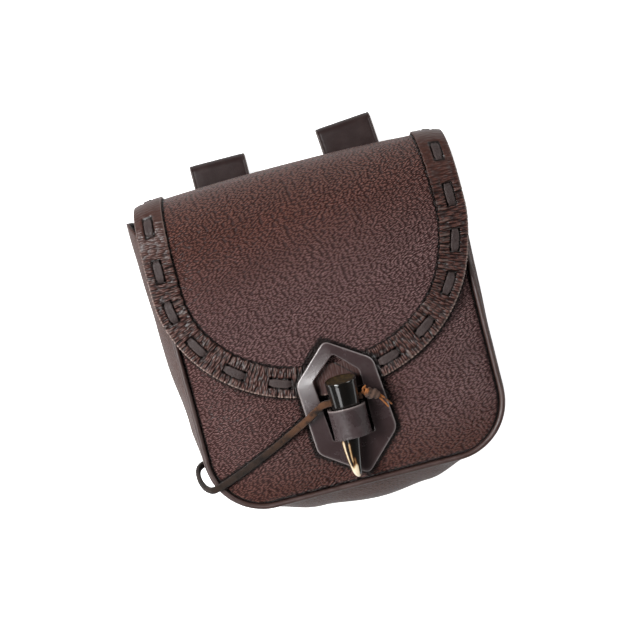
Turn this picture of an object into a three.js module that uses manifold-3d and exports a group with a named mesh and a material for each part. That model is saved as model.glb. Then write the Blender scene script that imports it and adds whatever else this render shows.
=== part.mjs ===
// Leather belt pouch: a puffed body of front panel, gusset and back panel, a rounded flap with a laced
// border, and a hexagonal closure plate that a horn toggle holds down through a leather keeper.
// Millimetres. +Z points out of the pouch's front, +Y to the end that hangs from the belt, +X right.
// The pouch lies on its back: the back panel and both belt loops rest on the plane z = 0.
import * as THREE from 'three';
import { mergeVertices } from 'three/addons/utils/BufferGeometryUtils.js';
import Module from 'manifold-3d';

const wasm = await Module();
wasm.setup();

// Leather thicknesses, and the gap between pieces that lie on each other
const GAP = 0.3;
const BODY_LEATHER = 2.0;
const FLAP_LEATHER = 1.6;
const BORDER_LEATHER = 1.6;
const LACE_LEATHER = 1.0;
const PLATE_LEATHER = 3.2;
const KEEPER_LEATHER = 2.2;
const LOOP_LEATHER = 2.2;

// Front panel: the U of its seam, and how far it puffs out
const FRONT = { half: 81.2, bottom: -83.9, top: 66, corner: 29.5, seamZ: 46, dome: 8, reach: 50 };
const FRONT_GRID = { across: 16, down: 18, crowd: 1.6 };
const MOUTH_DIP = { from: 40, drop: 1.2 };
const EDGE_BACK = 0.6;
const PIPING = { radius: 1.55, out: 1.55, z: 46.4, sides: 8, steps: [6, 9, 6] };

// Gusset: where it starts and ends in depth, how high it reaches at the mouth, and its bulge along the U
const GUSSET = { out: 1.55, frontZ: 43.9, aboveBack: 1.4, mouthFront: 66, mouthMiddle: 83, mouthBack: 80 };
const GUSSET_GRID = { along: [7, 9, 8], across: 7 };
const GUSSET_BULGE = [
  { place: 'left mouth', along: 0, bulge: 9.3 },
  { place: 'left middle', along: 0.16, bulge: 7.3 },
  { place: 'left low', along: 0.25, bulge: 4 },
  { place: 'left corner', along: 0.29, bulge: 2.2 },
  { place: 'bottom start', along: 0.37, bulge: 2 },
  { place: 'bottom left', along: 0.44, bulge: 9.4 },
  { place: 'bottom', along: 0.51, bulge: 12.7 },
  { place: 'bottom right', along: 0.57, bulge: 10 },
  { place: 'right corner', along: 0.63, bulge: 2 },
  { place: 'right low', along: 0.76, bulge: 2.1 },
  { place: 'right middle', along: 0.86, bulge: 3.2 },
  { place: 'right high', along: 0.94, bulge: 4.6 },
  { place: 'right mouth', along: 1, bulge: 4.8 },
];

// Back panel: flat low down, lifted over the belt loops at the top
const BACK = { out: 2.6, top: 82, liftFrom: -24, liftTo: 32 };
const BACK_GRID = { across: 10, down: 20, crowd: 1.25 };

// Belt loops: strap width, tunnel for the belt, and where each lies
const LOOP = { width: 31.5, tunnel: 5.2, roundSteps: 6 };
const LOOPS = [
  { name: 'belt_loop_left', x: -36.7, low: 35, high: 104.3, turnDeg: 0 },
  { name: 'belt_loop_right', x: 38.9, low: 37, high: 108, turnDeg: 4.6 },
];
const LOOP_STACK = 2 * LOOP_LEATHER + LOOP.tunnel;
const BACK_LIFT = LOOP_STACK + GAP;

// Flap: crown over the front, rounded fold at the top, hem inside the back panel, U-shaped end
const FLAP = { edgeZ: 49, crown: 6.5, crownHalf: 90, crownPower: 4, foldY: 66, foldLength: 78, hem: 5 };
const FLAP_GRID = { across: 18, down: 26, crowd: 0.85 };
const FOLD = { reach: 26.2, arch: 3, cornerFrom: 74, cornerSpan: 14, cornerDrop: 2.4 };
const FLAP_NARROWS = { from: 56, by: 4 };
const FLAP_LEANS = { from: 50, to: 26, by: 1.2 };
const END_CENTRE = 50;
const OUTER_EDGE = { half: 88, deep: 83, power: 2.12 };
const INNER_EDGE = { half: 72.4, deep: 66.3, power: 2.22 };
const TUCKED_EDGE = { half: 77.1, deep: 70.9, power: 2.2 };
const HEM_Z = BACK_LIFT + BODY_LEATHER + GAP + FLAP_LEATHER / 2;

// Border: it laps the flap's tucked edge, runs over the fold, and is pleated round the end
const BORDER = { endV: 122, straightRadius: 80, pleatHeight: 0.4, pleatStep: 3.4, straightPleat: 0.2 };
const BORDER_ACROSS = [
  { place: 0, top: 0, bottom: 0, pleated: 0.3 },
  { place: 0.33, top: 0, bottom: 0, pleated: 0.8 },
  { place: 0.73, top: 0, bottom: 0, pleated: 1 },
  { place: 0.94, top: -0.15, bottom: 0, pleated: 0.5 },
  { place: 1, top: -0.6, bottom: 0.4, pleated: 0 },
];
const SLIT_COLUMN = 1;

// Lace: one flat thong; the stitches' middles lie this far along the border from its lowest point
const LACE = { width: 5.1, place: 0.53, flat: 4.2, dive: 2.8, bow: 0.15, slack: 0.25 };
const SLIT = { from: 3.6, to: 8 };
const STITCHES_LEFT = [4.5, 32, 57.5, 82, 105.5, 128.5, 152.5, 176.5];
const STITCHES_RIGHT = [29, 54.5, 81.5, 105, 130, 154, 177];

// Closure plate: a hexagon with a pointed window, flat on the flap and bent down over the front
const PLATE = { x: -1.3, y: -42.5, turnDeg: 4, round: 3.5 };
const PLATE_GRID = { edgeSteps: 5, across: 3 };
const PLATE_CORNERS = [[-0.5, 39.3], [-22.3, 20.8], [-22.7, -19.3], [0.5, -38.4], [22.7, -18.6], [22, 22]];
const WINDOW_CORNERS = [[2, 31], [-12.8, 20], [-12.3, -15], [-0.8, -15.8], [10.4, -16.6], [12.8, 18.5]];
const WINDOW_ROUND = 1.2;
const PLATE_BEND = { z: 59, from: -28, per: 34, drop: 5.7, power: 1.2 };

// Horn toggle: axis ends, how far its axis sways to each side, and its radius along the length
const HORN = { topX: -1.1, topY: -24.8, topZ: 69.1, tipX: -4.2, tipY: -80, tipZ: 59.1, sway: 0.58, sides: 14 };
const HORN_TAPER = [
  { along: 0, radius: 8.2 },
  { along: 0.02, radius: 8.55 },
  { along: 0.22, radius: 7.9 },
  { along: 0.4, radius: 6.9 },
  { along: 0.58, radius: 5.8 },
  { along: 0.74, radius: 4.7 },
  { along: 0.88, radius: 3.2 },
  { along: 0.96, radius: 1.9 },
  { along: 1, radius: 0.5 },
];
const HORN_HOLE = { y: -36.3, radius: 2.4, sides: 12, reach: 15 };

// Keeper: an arch through the window, its feet on the front panel
const KEEPER = { x: -1.45, high: -40.4, low: -57.4, half: 10.4, crownZ: 76.75, slope: 0.2 };
const KEEPER_GRID = { arcSteps: 10, down: 3 };

// Thong: a limp leather cord, from the knot through the horn, over the front and into the gusset
const THONG = { radius: 1.75, sides: 8, steps: 34, holeRadius: 2.7, holeSides: 10 };
const THONG_ROUTE = [
  [8.4, -36.3, 66.9], [0, -36.3, 66.9], [-9, -36.3, 66.9], [-13.5, -36.6, 66.4], [-18.5, -39.4, 64.7],
  [-23.5, -42.6, 62.6], [-28, -45.2, 60.1], [-34, -48.4, 57.3], [-41, -52, 56.2], [-50, -56.2, 55.2],
  [-59, -60.2, 53.9], [-67, -63.6, 52.1], [-74, -66.3, 50.6], [-79.5, -68.1, 50.4], [-83.6, -68.8, 48.5],
  [-87, -67.2, 44], [-89.1, -64, 38.4], [-89.8, -60.9, 32.4], [-89.2, -58.6, 26.9], [-87, -57.3, 22.8],
  [-83.3, -57, 19.9],
];
const KNOT = { from: [10.3, -35.4, 66.6], to: [17.6, -38.8, 63.8], sides: 10 };
const KNOT_PROFILE = [
  { along: 0, radius: 0 },
  { along: 0, radius: 2.6 },
  { along: 0.22, radius: 3.5 },
  { along: 0.45, radius: 3 },
  { along: 0.62, radius: 3.2 },
  { along: 1, radius: 1.7 },
  { along: 1, radius: 0 },
];
const TAIL = { radius: 0.75, sides: 6, steps: 4 };
const KNOT_TAILS = [
  { from: [15.7, -37.2, 64.2], bend: [19.7, -40.5, 63.4], to: [22.8, -45.8, 62.1] },
  { from: [15.7, -38, 64], bend: [18.8, -42.2, 63], to: [20.8, -46.8, 61.9] },
];

// Finishes
const PEBBLED = new THREE.MeshStandardMaterial({ color: 0x4d3330, roughness: 0.55, metalness: 0 });
const SMOOTH = new THREE.MeshStandardMaterial({ color: 0x3a2c2b, roughness: 0.4, metalness: 0 });
const LACE_BROWN = new THREE.MeshStandardMaterial({ color: 0x3b302e, roughness: 0.6, metalness: 0 });
const THONG_BROWN = new THREE.MeshStandardMaterial({ color: 0x4a3022, roughness: 0.8, metalness: 0 });
const HORN_BLACK = new THREE.MeshStandardMaterial({ color: 0x16130f, roughness: 0.15, metalness: 0 });

const { lerp, smoothstep, clamp, degToRad } = THREE.MathUtils;
const point = (x, y, z) => new THREE.Vector3(x, y, z);
const power = (base, exponent) => Math.max(base, 0) ** exponent;

// A geometry from points and triangles, with its faces turned outward
function outward(points, index) {
  let volume = 0;
  for (let i = 0; i < index.length; i += 3) {
    const [a, b, c] = [points[index[i]], points[index[i + 1]], points[index[i + 2]]];
    volume += a.dot(b.clone().cross(c));
  }
  if (volume < 0) index.reverse();
  return new THREE.BufferGeometry().setFromPoints(points).setIndex(index);
}

// A closed wall between two surfaces of (u, v) in 0..1; round joins u = 1 to u = 0, and cells that
// open names are left out as holes right through it
function wall(cols, rows, face, back, { round = false, open = () => false } = {}) {
  const across = round ? cols : cols + 1;
  const points = [];
  for (const surface of [face, back]) {
    for (let j = 0; j <= rows; j++) {
      for (let i = 0; i < across; i++) points.push(surface(i / cols, j / rows));
    }
  }
  const index = [];
  const at = (side, i, j) => (side * (rows + 1) + j) * across + (i % across);
  const quad = (a, b, c, d) => index.push(a, b, c, a, c, d);
  const solid = (i, j) => (round || (i >= 0 && i < cols)) && j >= 0 && j < rows && !open(i, j);
  const side = (a, b) => quad(at(0, ...b), at(0, ...a), at(1, ...a), at(1, ...b));
  for (let j = 0; j < rows; j++) {
    for (let i = 0; i < cols; i++) {
      if (open(i, j)) continue;
      quad(at(0, i, j), at(0, i + 1, j), at(0, i + 1, j + 1), at(0, i, j + 1));
      quad(at(1, i, j), at(1, i, j + 1), at(1, i + 1, j + 1), at(1, i + 1, j));
      if (!solid(i, j - 1)) side([i, j], [i + 1, j]);
      if (!solid(i, j + 1)) side([i + 1, j + 1], [i, j + 1]);
      if (!solid(i - 1, j)) side([i, j + 1], [i, j]);
      if (!solid(i + 1, j)) side([i + 1, j], [i + 1, j + 1]);
    }
  }
  return outward(points, index);
}

// A closed solid through rings of points; outline is their shape in 2D, for the two end caps
function loft(rings, outline) {
  const count = outline.length;
  const index = [];
  for (let j = 0; j + 1 < rings.length; j++) {
    for (let i = 0; i < count; i++) {
      const a = j * count + i;
      const b = j * count + ((i + 1) % count);
      index.push(a, b, b + count, a, b + count, a + count);
    }
  }
  const last = (rings.length - 1) * count;
  for (const [a, b, c] of THREE.ShapeUtils.triangulateShape(outline, [])) {
    index.push(c, b, a);
    index.push(last + a, last + b, last + c);
  }
  return outward(rings.flat(), index);
}

// A regular outline of that many sides, anticlockwise
function roundOutline(sides, radius) {
  return Array.from({ length: sides }, (_, i) => {
    const angle = (2 * Math.PI * i) / sides;
    return new THREE.Vector2(radius * Math.cos(angle), radius * Math.sin(angle));
  });
}

// A round cord along a curve
function tube(curve, radius, sides, steps) {
  const shape = new THREE.Shape(roundOutline(sides, radius));
  return new THREE.ExtrudeGeometry(shape, { steps, extrudePath: curve, curveSegments: 1 });
}

function toSolid(geometry) {
  const bare = geometry.clone();
  for (const name of Object.keys(bare.attributes)) {
    if (name !== 'position') bare.deleteAttribute(name);
  }
  const merged = mergeVertices(bare, 1e-4);
  const vertProperties = Float32Array.from(merged.attributes.position.array);
  const triVerts = Uint32Array.from(merged.index.array);
  return new wasm.Manifold(new wasm.Mesh({ numProp: 3, vertProperties, triVerts }));
}

function fromSolid(solid) {
  const { vertProperties, triVerts } = solid.getMesh();
  const geometry = new THREE.BufferGeometry();
  geometry.setAttribute('position', new THREE.BufferAttribute(Float32Array.from(vertProperties), 3));
  return geometry.setIndex(new THREE.BufferAttribute(Uint32Array.from(triVerts), 1));
}

function cut(geometry, cutters) {
  return fromSolid(cutters.reduce((left, cutter) => left.subtract(toSolid(cutter)), toSolid(geometry)));
}

function fuse(geometries) {
  return fromSolid(geometries.map(toSolid).reduce((whole, piece) => whole.add(piece)));
}

// A table's column at a place along it, eased from row to row
function fromTable(rows, column, along) {
  const next = clamp(rows.findIndex((row) => row.along >= along), 1, rows.length - 1);
  const [a, b] = [rows[next - 1], rows[next]];
  return lerp(a[column], b[column], smoothstep(along, a.along, b.along));
}

// Body outline: a U with round lower corners, as a place and an outward direction along its length
const SIDE = GUSSET.mouthMiddle - FRONT.bottom - FRONT.corner;
const ARC = (Math.PI / 2) * FRONT.corner;
const FLOOR = 2 * (FRONT.half - FRONT.corner);
const U_LENGTH = 2 * SIDE + 2 * ARC + FLOOR;

function onU(distance) {
  const cornerX = FRONT.half - FRONT.corner;
  const cornerY = FRONT.bottom + FRONT.corner;
  if (distance < SIDE) {
    return { x: -FRONT.half, y: GUSSET.mouthMiddle - distance, nx: -1, ny: 0 };
  }
  if (distance < SIDE + ARC) {
    const angle = (distance - SIDE) / FRONT.corner;
    const [nx, ny] = [-Math.cos(angle), -Math.sin(angle)];
    return { x: -cornerX + FRONT.corner * nx, y: cornerY + FRONT.corner * ny, nx, ny };
  }
  if (distance <= U_LENGTH / 2) {
    return { x: -cornerX + distance - SIDE - ARC, y: FRONT.bottom, nx: 0, ny: -1 };
  }
  const mirror = onU(U_LENGTH - distance);
  return { ...mirror, x: -mirror.x, nx: -mirror.nx };
}

// Distances along the U with close steps round the corners, starting and ending below the top
function uStations(below, sideSteps, arcSteps, floorSteps) {
  const spans = [
    [below, SIDE, sideSteps],
    [SIDE, SIDE + ARC, arcSteps],
    [SIDE + ARC, SIDE + ARC + FLOOR, floorSteps],
    [SIDE + ARC + FLOOR, U_LENGTH - SIDE, arcSteps],
    [U_LENGTH - SIDE, U_LENGTH - below, sideSteps],
  ];
  const stations = [below];
  for (const [from, to, steps] of spans) {
    for (let i = 1; i <= steps; i++) stations.push(lerp(from, to, i / steps));
  }
  return stations;
}

// Half the front panel's width at a height, following the round corners
function frontHalf(y) {
  const rise = FRONT.bottom + FRONT.corner - y;
  if (rise <= 0) return FRONT.half;
  return FRONT.half - FRONT.corner + Math.sqrt(power(FRONT.corner ** 2 - rise ** 2, 1));
}

// Height of the front panel's outer face: a pillow that rises from the seam
function frontZ(x, y) {
  const puff = (inward) => 1 - (1 - clamp(inward / FRONT.reach, 0, 1)) ** 3;
  const rise = FRONT.dome * puff(frontHalf(y) - Math.abs(x)) * puff(y - FRONT.bottom);
  return FRONT.seamZ + rise - MOUTH_DIP.drop * smoothstep(y, MOUTH_DIP.from, FRONT.top);
}

function frontPanel() {
  const spot = (u, v, depth) => {
    const low = FRONT.bottom + EDGE_BACK;
    const y = lerp(low, FRONT.top, v ** FRONT_GRID.crowd);
    const x = Math.sin((u - 0.5) * Math.PI) * (frontHalf(y) - EDGE_BACK);
    return point(x, y, frontZ(x, y) - depth);
  };
  const { across, down } = FRONT_GRID;
  return wall(across, down, (u, v) => spot(u, v, 0), (u, v) => spot(u, v, BODY_LEATHER));
}

function frontPiping() {
  const outline = roundOutline(PIPING.sides, PIPING.radius);
  const rings = uStations(GUSSET.mouthMiddle - FRONT.top, ...PIPING.steps).map((distance) => {
    const { x, y, nx, ny } = onU(distance);
    return outline.map((p) => {
      const out = PIPING.out - p.x;
      return point(x + nx * out, y + ny * out, PIPING.z + p.y);
    });
  });
  return loft(rings, outline);
}

// Lift of the back panel over the belt loops
function backZ(y) {
  return BACK_LIFT * smoothstep(y, BACK.liftFrom, BACK.liftTo);
}

function backPanel() {
  const spot = (u, v, height) => {
    const scale = (FRONT.half + BACK.out) / FRONT.half;
    const y = lerp(FRONT.bottom - BACK.out, BACK.top, v ** BACK_GRID.crowd);
    const x = Math.sin((u - 0.5) * Math.PI) * frontHalf(y / scale) * scale;
    return point(x, y, backZ(y) + height);
  };
  const { across, down } = BACK_GRID;
  return wall(across, down, (u, v) => spot(u, v, BODY_LEATHER), (u, v) => spot(u, v, 0));
}

function gusset() {
  const stations = uStations(0, ...GUSSET_GRID.along);
  const mouth = (t) => {
    const from = t < 0.5 ? GUSSET.mouthFront : GUSSET.mouthBack;
    return lerp(from, GUSSET.mouthMiddle, Math.sin(Math.PI * t));
  };
  const middle = (u, t) => {
    const down = GUSSET.mouthMiddle - mouth(t);
    const along = stations[Math.round(u * (stations.length - 1))] / U_LENGTH;
    const { x, y, nx, ny } = onU(lerp(down, U_LENGTH - down, along));
    const backEdge = backZ(y) + BODY_LEATHER + GUSSET.aboveBack;
    const out = GUSSET.out + fromTable(GUSSET_BULGE, 'bulge', along) * Math.sin(Math.PI * t);
    return { spot: point(x + nx * out, y + ny * out, lerp(GUSSET.frontZ, backEdge, t)), nx, ny };
  };
  const face = (side) => (u, t) => {
    const { spot, nx, ny } = middle(u, t);
    const step = 0.02;
    const run = middle(u, Math.min(t + step, 1)).spot.sub(middle(u, Math.max(t - step, 0)).spot);
    const out = run.x * nx + run.y * ny;
    const tilt = Math.hypot(out, run.z);
    const half = (side * BODY_LEATHER) / 2;
    return spot.add(point((nx * -run.z * half) / tilt, (ny * -run.z * half) / tilt, (out * half) / tilt));
  };
  const strip = wall(stations.length - 1, GUSSET_GRID.across, face(1), face(-1));
  const [before, last] = [THONG_ROUTE.at(-2), THONG_ROUTE.at(-1)].map((p) => point(...p));
  const way = last.clone().sub(before);
  const line = new THREE.LineCurve3(before.clone().sub(way), last.clone().add(way));
  return cut(strip, [tube(line, THONG.holeRadius, THONG.holeSides, 1)]);
}

// Half the flap's width: straight down the front, drawn in over the fold
function drawnIn(half, v) {
  return half - FLAP_NARROWS.by * smoothstep(v, FLAP_NARROWS.from, FLAP.foldY + FLAP.foldLength);
}

// A point on the flap's middle surface: v is the height on the front and runs on over the fold to the hem.
// The end leans a little to the left.
function flapMiddle(x, v) {
  const crown = FLAP.edgeZ + FLAP.crown * (1 - Math.abs(x / FLAP.crownHalf) ** FLAP.crownPower);
  const lean = FLAP_LEANS.by * (1 - smoothstep(v, FLAP_LEANS.to, FLAP_LEANS.from));
  if (v <= FLAP.foldY) return point(x - lean, v, crown);
  const past = v - FLAP.foldY - FLAP.foldLength;
  if (past >= 0) return point(x, FLAP.foldY - past, HEM_Z);
  const angle = (Math.PI * (v - FLAP.foldY)) / FLAP.foldLength;
  const corner = power((Math.abs(x) - FOLD.cornerFrom) / FOLD.cornerSpan, 2);
  const reach = FOLD.reach - FOLD.arch * (x / OUTER_EDGE.half) ** 2 - FOLD.cornerDrop * corner;
  const half = (crown - HEM_Z) / 2;
  return point(x, FLAP.foldY + reach * Math.sin(angle), HEM_Z + half + half * Math.cos(angle));
}

// A point at a height over the flap's middle surface
function onFlap(x, v, height) {
  const step = 0.05;
  const across = flapMiddle(x + step, v).sub(flapMiddle(x - step, v));
  const along = flapMiddle(x, v + step).sub(flapMiddle(x, v - step));
  return flapMiddle(x, v).addScaledVector(across.cross(along).normalize(), height);
}

// The flap's own edge, tucked under the border
function tuckedV(x) {
  const { half, deep, power: exponent } = TUCKED_EDGE;
  return END_CENTRE - deep * power(1 - power(Math.abs(x) / half, exponent), 1 / exponent);
}

function flap() {
  const endV = FLAP.foldY + FLAP.foldLength + FLAP.hem;
  const half = TUCKED_EDGE.half;
  const spot = (u, t, height) => {
    const flat = half * Math.sin((u - 0.5) * Math.PI);
    const v = lerp(tuckedV(flat), endV, t ** FLAP_GRID.crowd);
    return onFlap((flat * drawnIn(half, v)) / half, v, height);
  };
  const thick = FLAP_LEATHER / 2;
  const { across, down } = FLAP_GRID;
  return wall(across, down, (u, t) => spot(u, t, thick), (u, t) => spot(u, t, -thick));
}

// A line along the border as (x, v): angle 0 to pi runs round the end, and past that up the sides
function borderEdge(angle, { half, deep, power: exponent }) {
  const above = Math.max(-angle, angle - Math.PI);
  if (above > 0) {
    const v = END_CENTRE + above * BORDER.straightRadius;
    return { x: (angle < 0 ? -1 : 1) * drawnIn(half, v), v };
  }
  const round = 2 / exponent;
  const x = -Math.sign(Math.cos(angle)) * half * power(Math.abs(Math.cos(angle)), round);
  return { x, v: END_CENTRE - deep * power(Math.sin(angle), round) };
}

// A point on the border: place 0 is its inner edge and 1 its outer edge
function onBorder(angle, place, height) {
  const inner = borderEdge(angle, INNER_EDGE);
  const outer = borderEdge(angle, OUTER_EDGE);
  return onFlap(lerp(inner.x, outer.x, place), lerp(inner.v, outer.v, place), height);
}

// The lace's line along the border in fine steps, with the distance from the flap's lowest point
const FINE = 600;
const BORDER_START = -(BORDER.endV - END_CENTRE) / BORDER.straightRadius;
const LACE_LINE = (() => {
  const line = [];
  let run = 0;
  for (let i = 0; i <= FINE; i++) {
    const angle = lerp(BORDER_START, Math.PI - BORDER_START, i / FINE);
    const spot = onBorder(angle, LACE.place, 0);
    if (i > 0) run += spot.distanceTo(line[i - 1].spot);
    line.push({ angle, spot, run });
  }
  const middle = line[FINE / 2].run;
  return line.map((step) => ({ ...step, run: step.run - middle }));
})();
const BORDER_ENDS = [LACE_LINE[0].run, LACE_LINE[FINE].run];

function angleAt(run) {
  const next = clamp(LACE_LINE.findIndex((step) => step.run >= run), 1, FINE);
  const [a, b] = [LACE_LINE[next - 1], LACE_LINE[next]];
  return lerp(a.angle, b.angle, (run - a.run) / (b.run - a.run));
}

const STITCHES = [...STITCHES_LEFT.map((run) => -run).reverse(), ...STITCHES_RIGHT];

// The border's cross lines: both ends of each slit, and even steps between them
function borderStations() {
  const marks = [BORDER_ENDS[0]];
  for (const stitch of STITCHES) {
    marks.push(stitch - SLIT.to, stitch - SLIT.from, stitch + SLIT.from, stitch + SLIT.to);
  }
  marks.push(BORDER_ENDS[1]);
  const stations = [{ run: marks[0], slit: false }];
  for (let i = 1; i < marks.length; i++) {
    const slit = i % 2 === 0 && i < marks.length - 1;
    const steps = slit ? 1 : Math.max(1, Math.round((marks[i] - marks[i - 1]) / BORDER.pleatStep));
    for (let k = 1; k <= steps; k++) stations.push({ run: lerp(marks[i - 1], marks[i], k / steps), slit });
  }
  return stations;
}

// Pleats are drawn tight round the curved end and die out up the straight sides
function gathered(angle) {
  return lerp(BORDER.straightPleat, 1, Math.sqrt(Math.sin(clamp(angle, 0, Math.PI))));
}

function flapBorder() {
  const stations = borderStations();
  const [cols, rows] = [BORDER_ACROSS.length - 1, stations.length - 1];
  const low = FLAP_LEATHER / 2 + GAP;
  const spot = (u, v, top) => {
    const row = Math.round(v * rows);
    const across = BORDER_ACROSS[Math.round(u * cols)];
    const angle = angleAt(stations[row].run);
    const pleat = (row % 2) * BORDER.pleatHeight * gathered(angle) * across.pleated;
    const height = top ? low + BORDER_LEATHER + across.top + pleat : low + across.bottom;
    return onBorder(angle, across.place, height);
  };
  const open = (i, j) => i === SLIT_COLUMN && stations[j + 1].slit;
  return wall(cols, rows, (u, v) => spot(u, v, true), (u, v) => spot(u, v, false), { open });
}

function borderLace() {
  const lift = LACE_LEATHER / 2 + GAP;
  const low = FLAP_LEATHER / 2 + GAP;
  const over = low + BORDER_LEATHER + BORDER.pleatHeight + lift;
  const under = low - lift - LACE.slack;
  const down = LACE.flat + LACE.dive;
  const path = [{ run: STITCHES[0] - down - LACE.dive, height: under }];
  for (const stitch of STITCHES) {
    path.push({ run: stitch - down, height: under });
    path.push({ run: stitch - LACE.flat, height: over });
    path.push({ run: stitch, height: over + LACE.bow });
    path.push({ run: stitch + LACE.flat, height: over });
    path.push({ run: stitch + down, height: under });
    path.push({ run: stitch + down + LACE.dive, height: under });
  }
  const line = path.map(({ run, height }) => onBorder(angleAt(run), LACE.place, height));
  const half = LACE.width / 2;
  const outline = [[-half, -1], [half, -1], [half, 1], [-half, 1]].map((p) => new THREE.Vector2(...p));
  const rings = line.map((spot, i) => {
    const angle = angleAt(path[i].run);
    const across = onBorder(angle, 1, path[i].height).sub(onBorder(angle, 0, path[i].height)).normalize();
    const into = spot.clone().sub(line[Math.max(i - 1, 0)]).normalize();
    const onward = line[Math.min(i + 1, line.length - 1)].clone().sub(spot).normalize();
    const up = into.add(onward).normalize().cross(across).normalize();
    return outline.map(({ x, y }) => spot.clone()
      .addScaledVector(across, x)
      .addScaledVector(up, (y * LACE_LEATHER) / 2));
  });
  return loft(rings, outline);
}

// A closed outline through corners, each rounded in two steps, with the straight edges stepped too
function roundedCorners(spots, radius, edgeSteps) {
  const corners = spots.map(([x, y]) => new THREE.Vector2(x, y));
  const count = corners.length;
  const line = [];
  corners.forEach((corner, i) => {
    const before = corners[(i + count - 1) % count].clone().sub(corner).normalize();
    const toNext = corners[(i + 1) % count].clone().sub(corner);
    const after = toNext.clone().normalize();
    const start = corner.clone().addScaledVector(before, radius);
    const end = corner.clone().addScaledVector(after, radius);
    const next = corner.clone().addScaledVector(after, toNext.length() - radius);
    line.push(start, corner.clone().lerp(start.clone().lerp(end, 0.5), 0.5), end);
    for (let k = 1; k < edgeSteps; k++) line.push(end.clone().lerp(next, k / edgeSteps));
  });
  return line;
}

// Underside of the closure plate
function plateZ(y) {
  const below = power((PLATE_BEND.from - y) / PLATE_BEND.per, PLATE_BEND.power);
  return PLATE_BEND.z - PLATE_BEND.drop * below;
}

function closurePlate() {
  const { edgeSteps, across } = PLATE_GRID;
  const outside = roundedCorners(PLATE_CORNERS, PLATE.round, edgeSteps);
  const inside = roundedCorners(WINDOW_CORNERS, WINDOW_ROUND, edgeSteps);
  const centre = new THREE.Vector2(PLATE.x, PLATE.y);
  const turn = degToRad(PLATE.turnDeg);
  const spot = (u, v, height) => {
    const i = Math.round(u * outside.length) % outside.length;
    const flat = inside[i].clone().lerp(outside[i], v);
    flat.rotateAround(new THREE.Vector2(), turn).add(centre);
    return point(flat.x, flat.y, plateZ(flat.y) + height);
  };
  const top = (u, v) => spot(u, v, PLATE_LEATHER);
  return wall(outside.length, across, top, (u, v) => spot(u, v, 0), { round: true });
}

// The horn's axis: to the right in its upper half and to the left in its lower half
function hornAxis(along) {
  const x = lerp(HORN.topX, HORN.tipX, along) + HORN.sway * Math.sin(2 * Math.PI * along);
  return point(x, lerp(HORN.topY, HORN.tipY, along), lerp(HORN.topZ, HORN.tipZ, along));
}

function hornToggle() {
  const outline = roundOutline(HORN.sides, 1);
  const sideways = point(1, 0, 0);
  const up = hornAxis(1).sub(hornAxis(0)).normalize().cross(sideways).normalize();
  const rings = HORN_TAPER.map(({ along, radius }) => outline.map((p) => hornAxis(along)
    .addScaledVector(sideways, p.x * radius)
    .addScaledVector(up, p.y * radius)));
  const along = (HORN_HOLE.y - HORN.topY) / (HORN.tipY - HORN.topY);
  const { y, z } = hornAxis(along);
  const across = new THREE.LineCurve3(point(-HORN_HOLE.reach, y, z), point(HORN_HOLE.reach, y, z));
  return cut(loft(rings, outline), [tube(across, HORN_HOLE.radius, HORN_HOLE.sides, 1)]);
}

function keeperLoop() {
  const inner = KEEPER.half - KEEPER_LEATHER;
  const archAt = (y) => {
    const centreZ = KEEPER.crownZ - KEEPER.half + KEEPER.slope * (y - KEEPER.high);
    const arc = (radius, from, to) => Array.from({ length: KEEPER_GRID.arcSteps + 1 }, (_, i) => {
      const angle = lerp(from, to, i / KEEPER_GRID.arcSteps);
      return new THREE.Vector2(KEEPER.x + radius * Math.cos(angle), centreZ + radius * Math.sin(angle));
    });
    const foot = (x) => new THREE.Vector2(KEEPER.x + x, frontZ(KEEPER.x + x, y) + GAP);
    return [
      foot(KEEPER.half), ...arc(KEEPER.half, 0, Math.PI), foot(-KEEPER.half),
      foot(-inner), ...arc(inner, Math.PI, 0), foot(inner),
    ];
  };
  const rings = [];
  for (let i = 0; i <= KEEPER_GRID.down; i++) {
    const y = lerp(KEEPER.high, KEEPER.low, i / KEEPER_GRID.down);
    rings.push(archAt(y).map((p) => point(p.x, y, p.y)));
  }
  return loft(rings, archAt(KEEPER.high));
}

function thong() {
  const curve = new THREE.CatmullRomCurve3(THONG_ROUTE.map((p) => point(...p)));
  return tube(curve, THONG.radius, THONG.sides, THONG.steps);
}

function thongKnot() {
  const [from, to] = [point(...KNOT.from), point(...KNOT.to)];
  const long = from.distanceTo(to);
  const profile = KNOT_PROFILE.map(({ along, radius }) => new THREE.Vector2(radius, along * long));
  const body = new THREE.LatheGeometry(profile, KNOT.sides);
  const turn = new THREE.Quaternion().setFromUnitVectors(point(0, 1, 0), to.clone().sub(from).normalize());
  body.applyQuaternion(turn).translate(from.x, from.y, from.z);
  const tails = KNOT_TAILS.map((tail) => {
    const ends = [tail.from, tail.bend, tail.to].map((p) => point(...p));
    const curve = new THREE.QuadraticBezierCurve3(...ends);
    return tube(curve, TAIL.radius, TAIL.sides, TAIL.steps);
  });
  return fuse([body, ...tails]);
}

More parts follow.
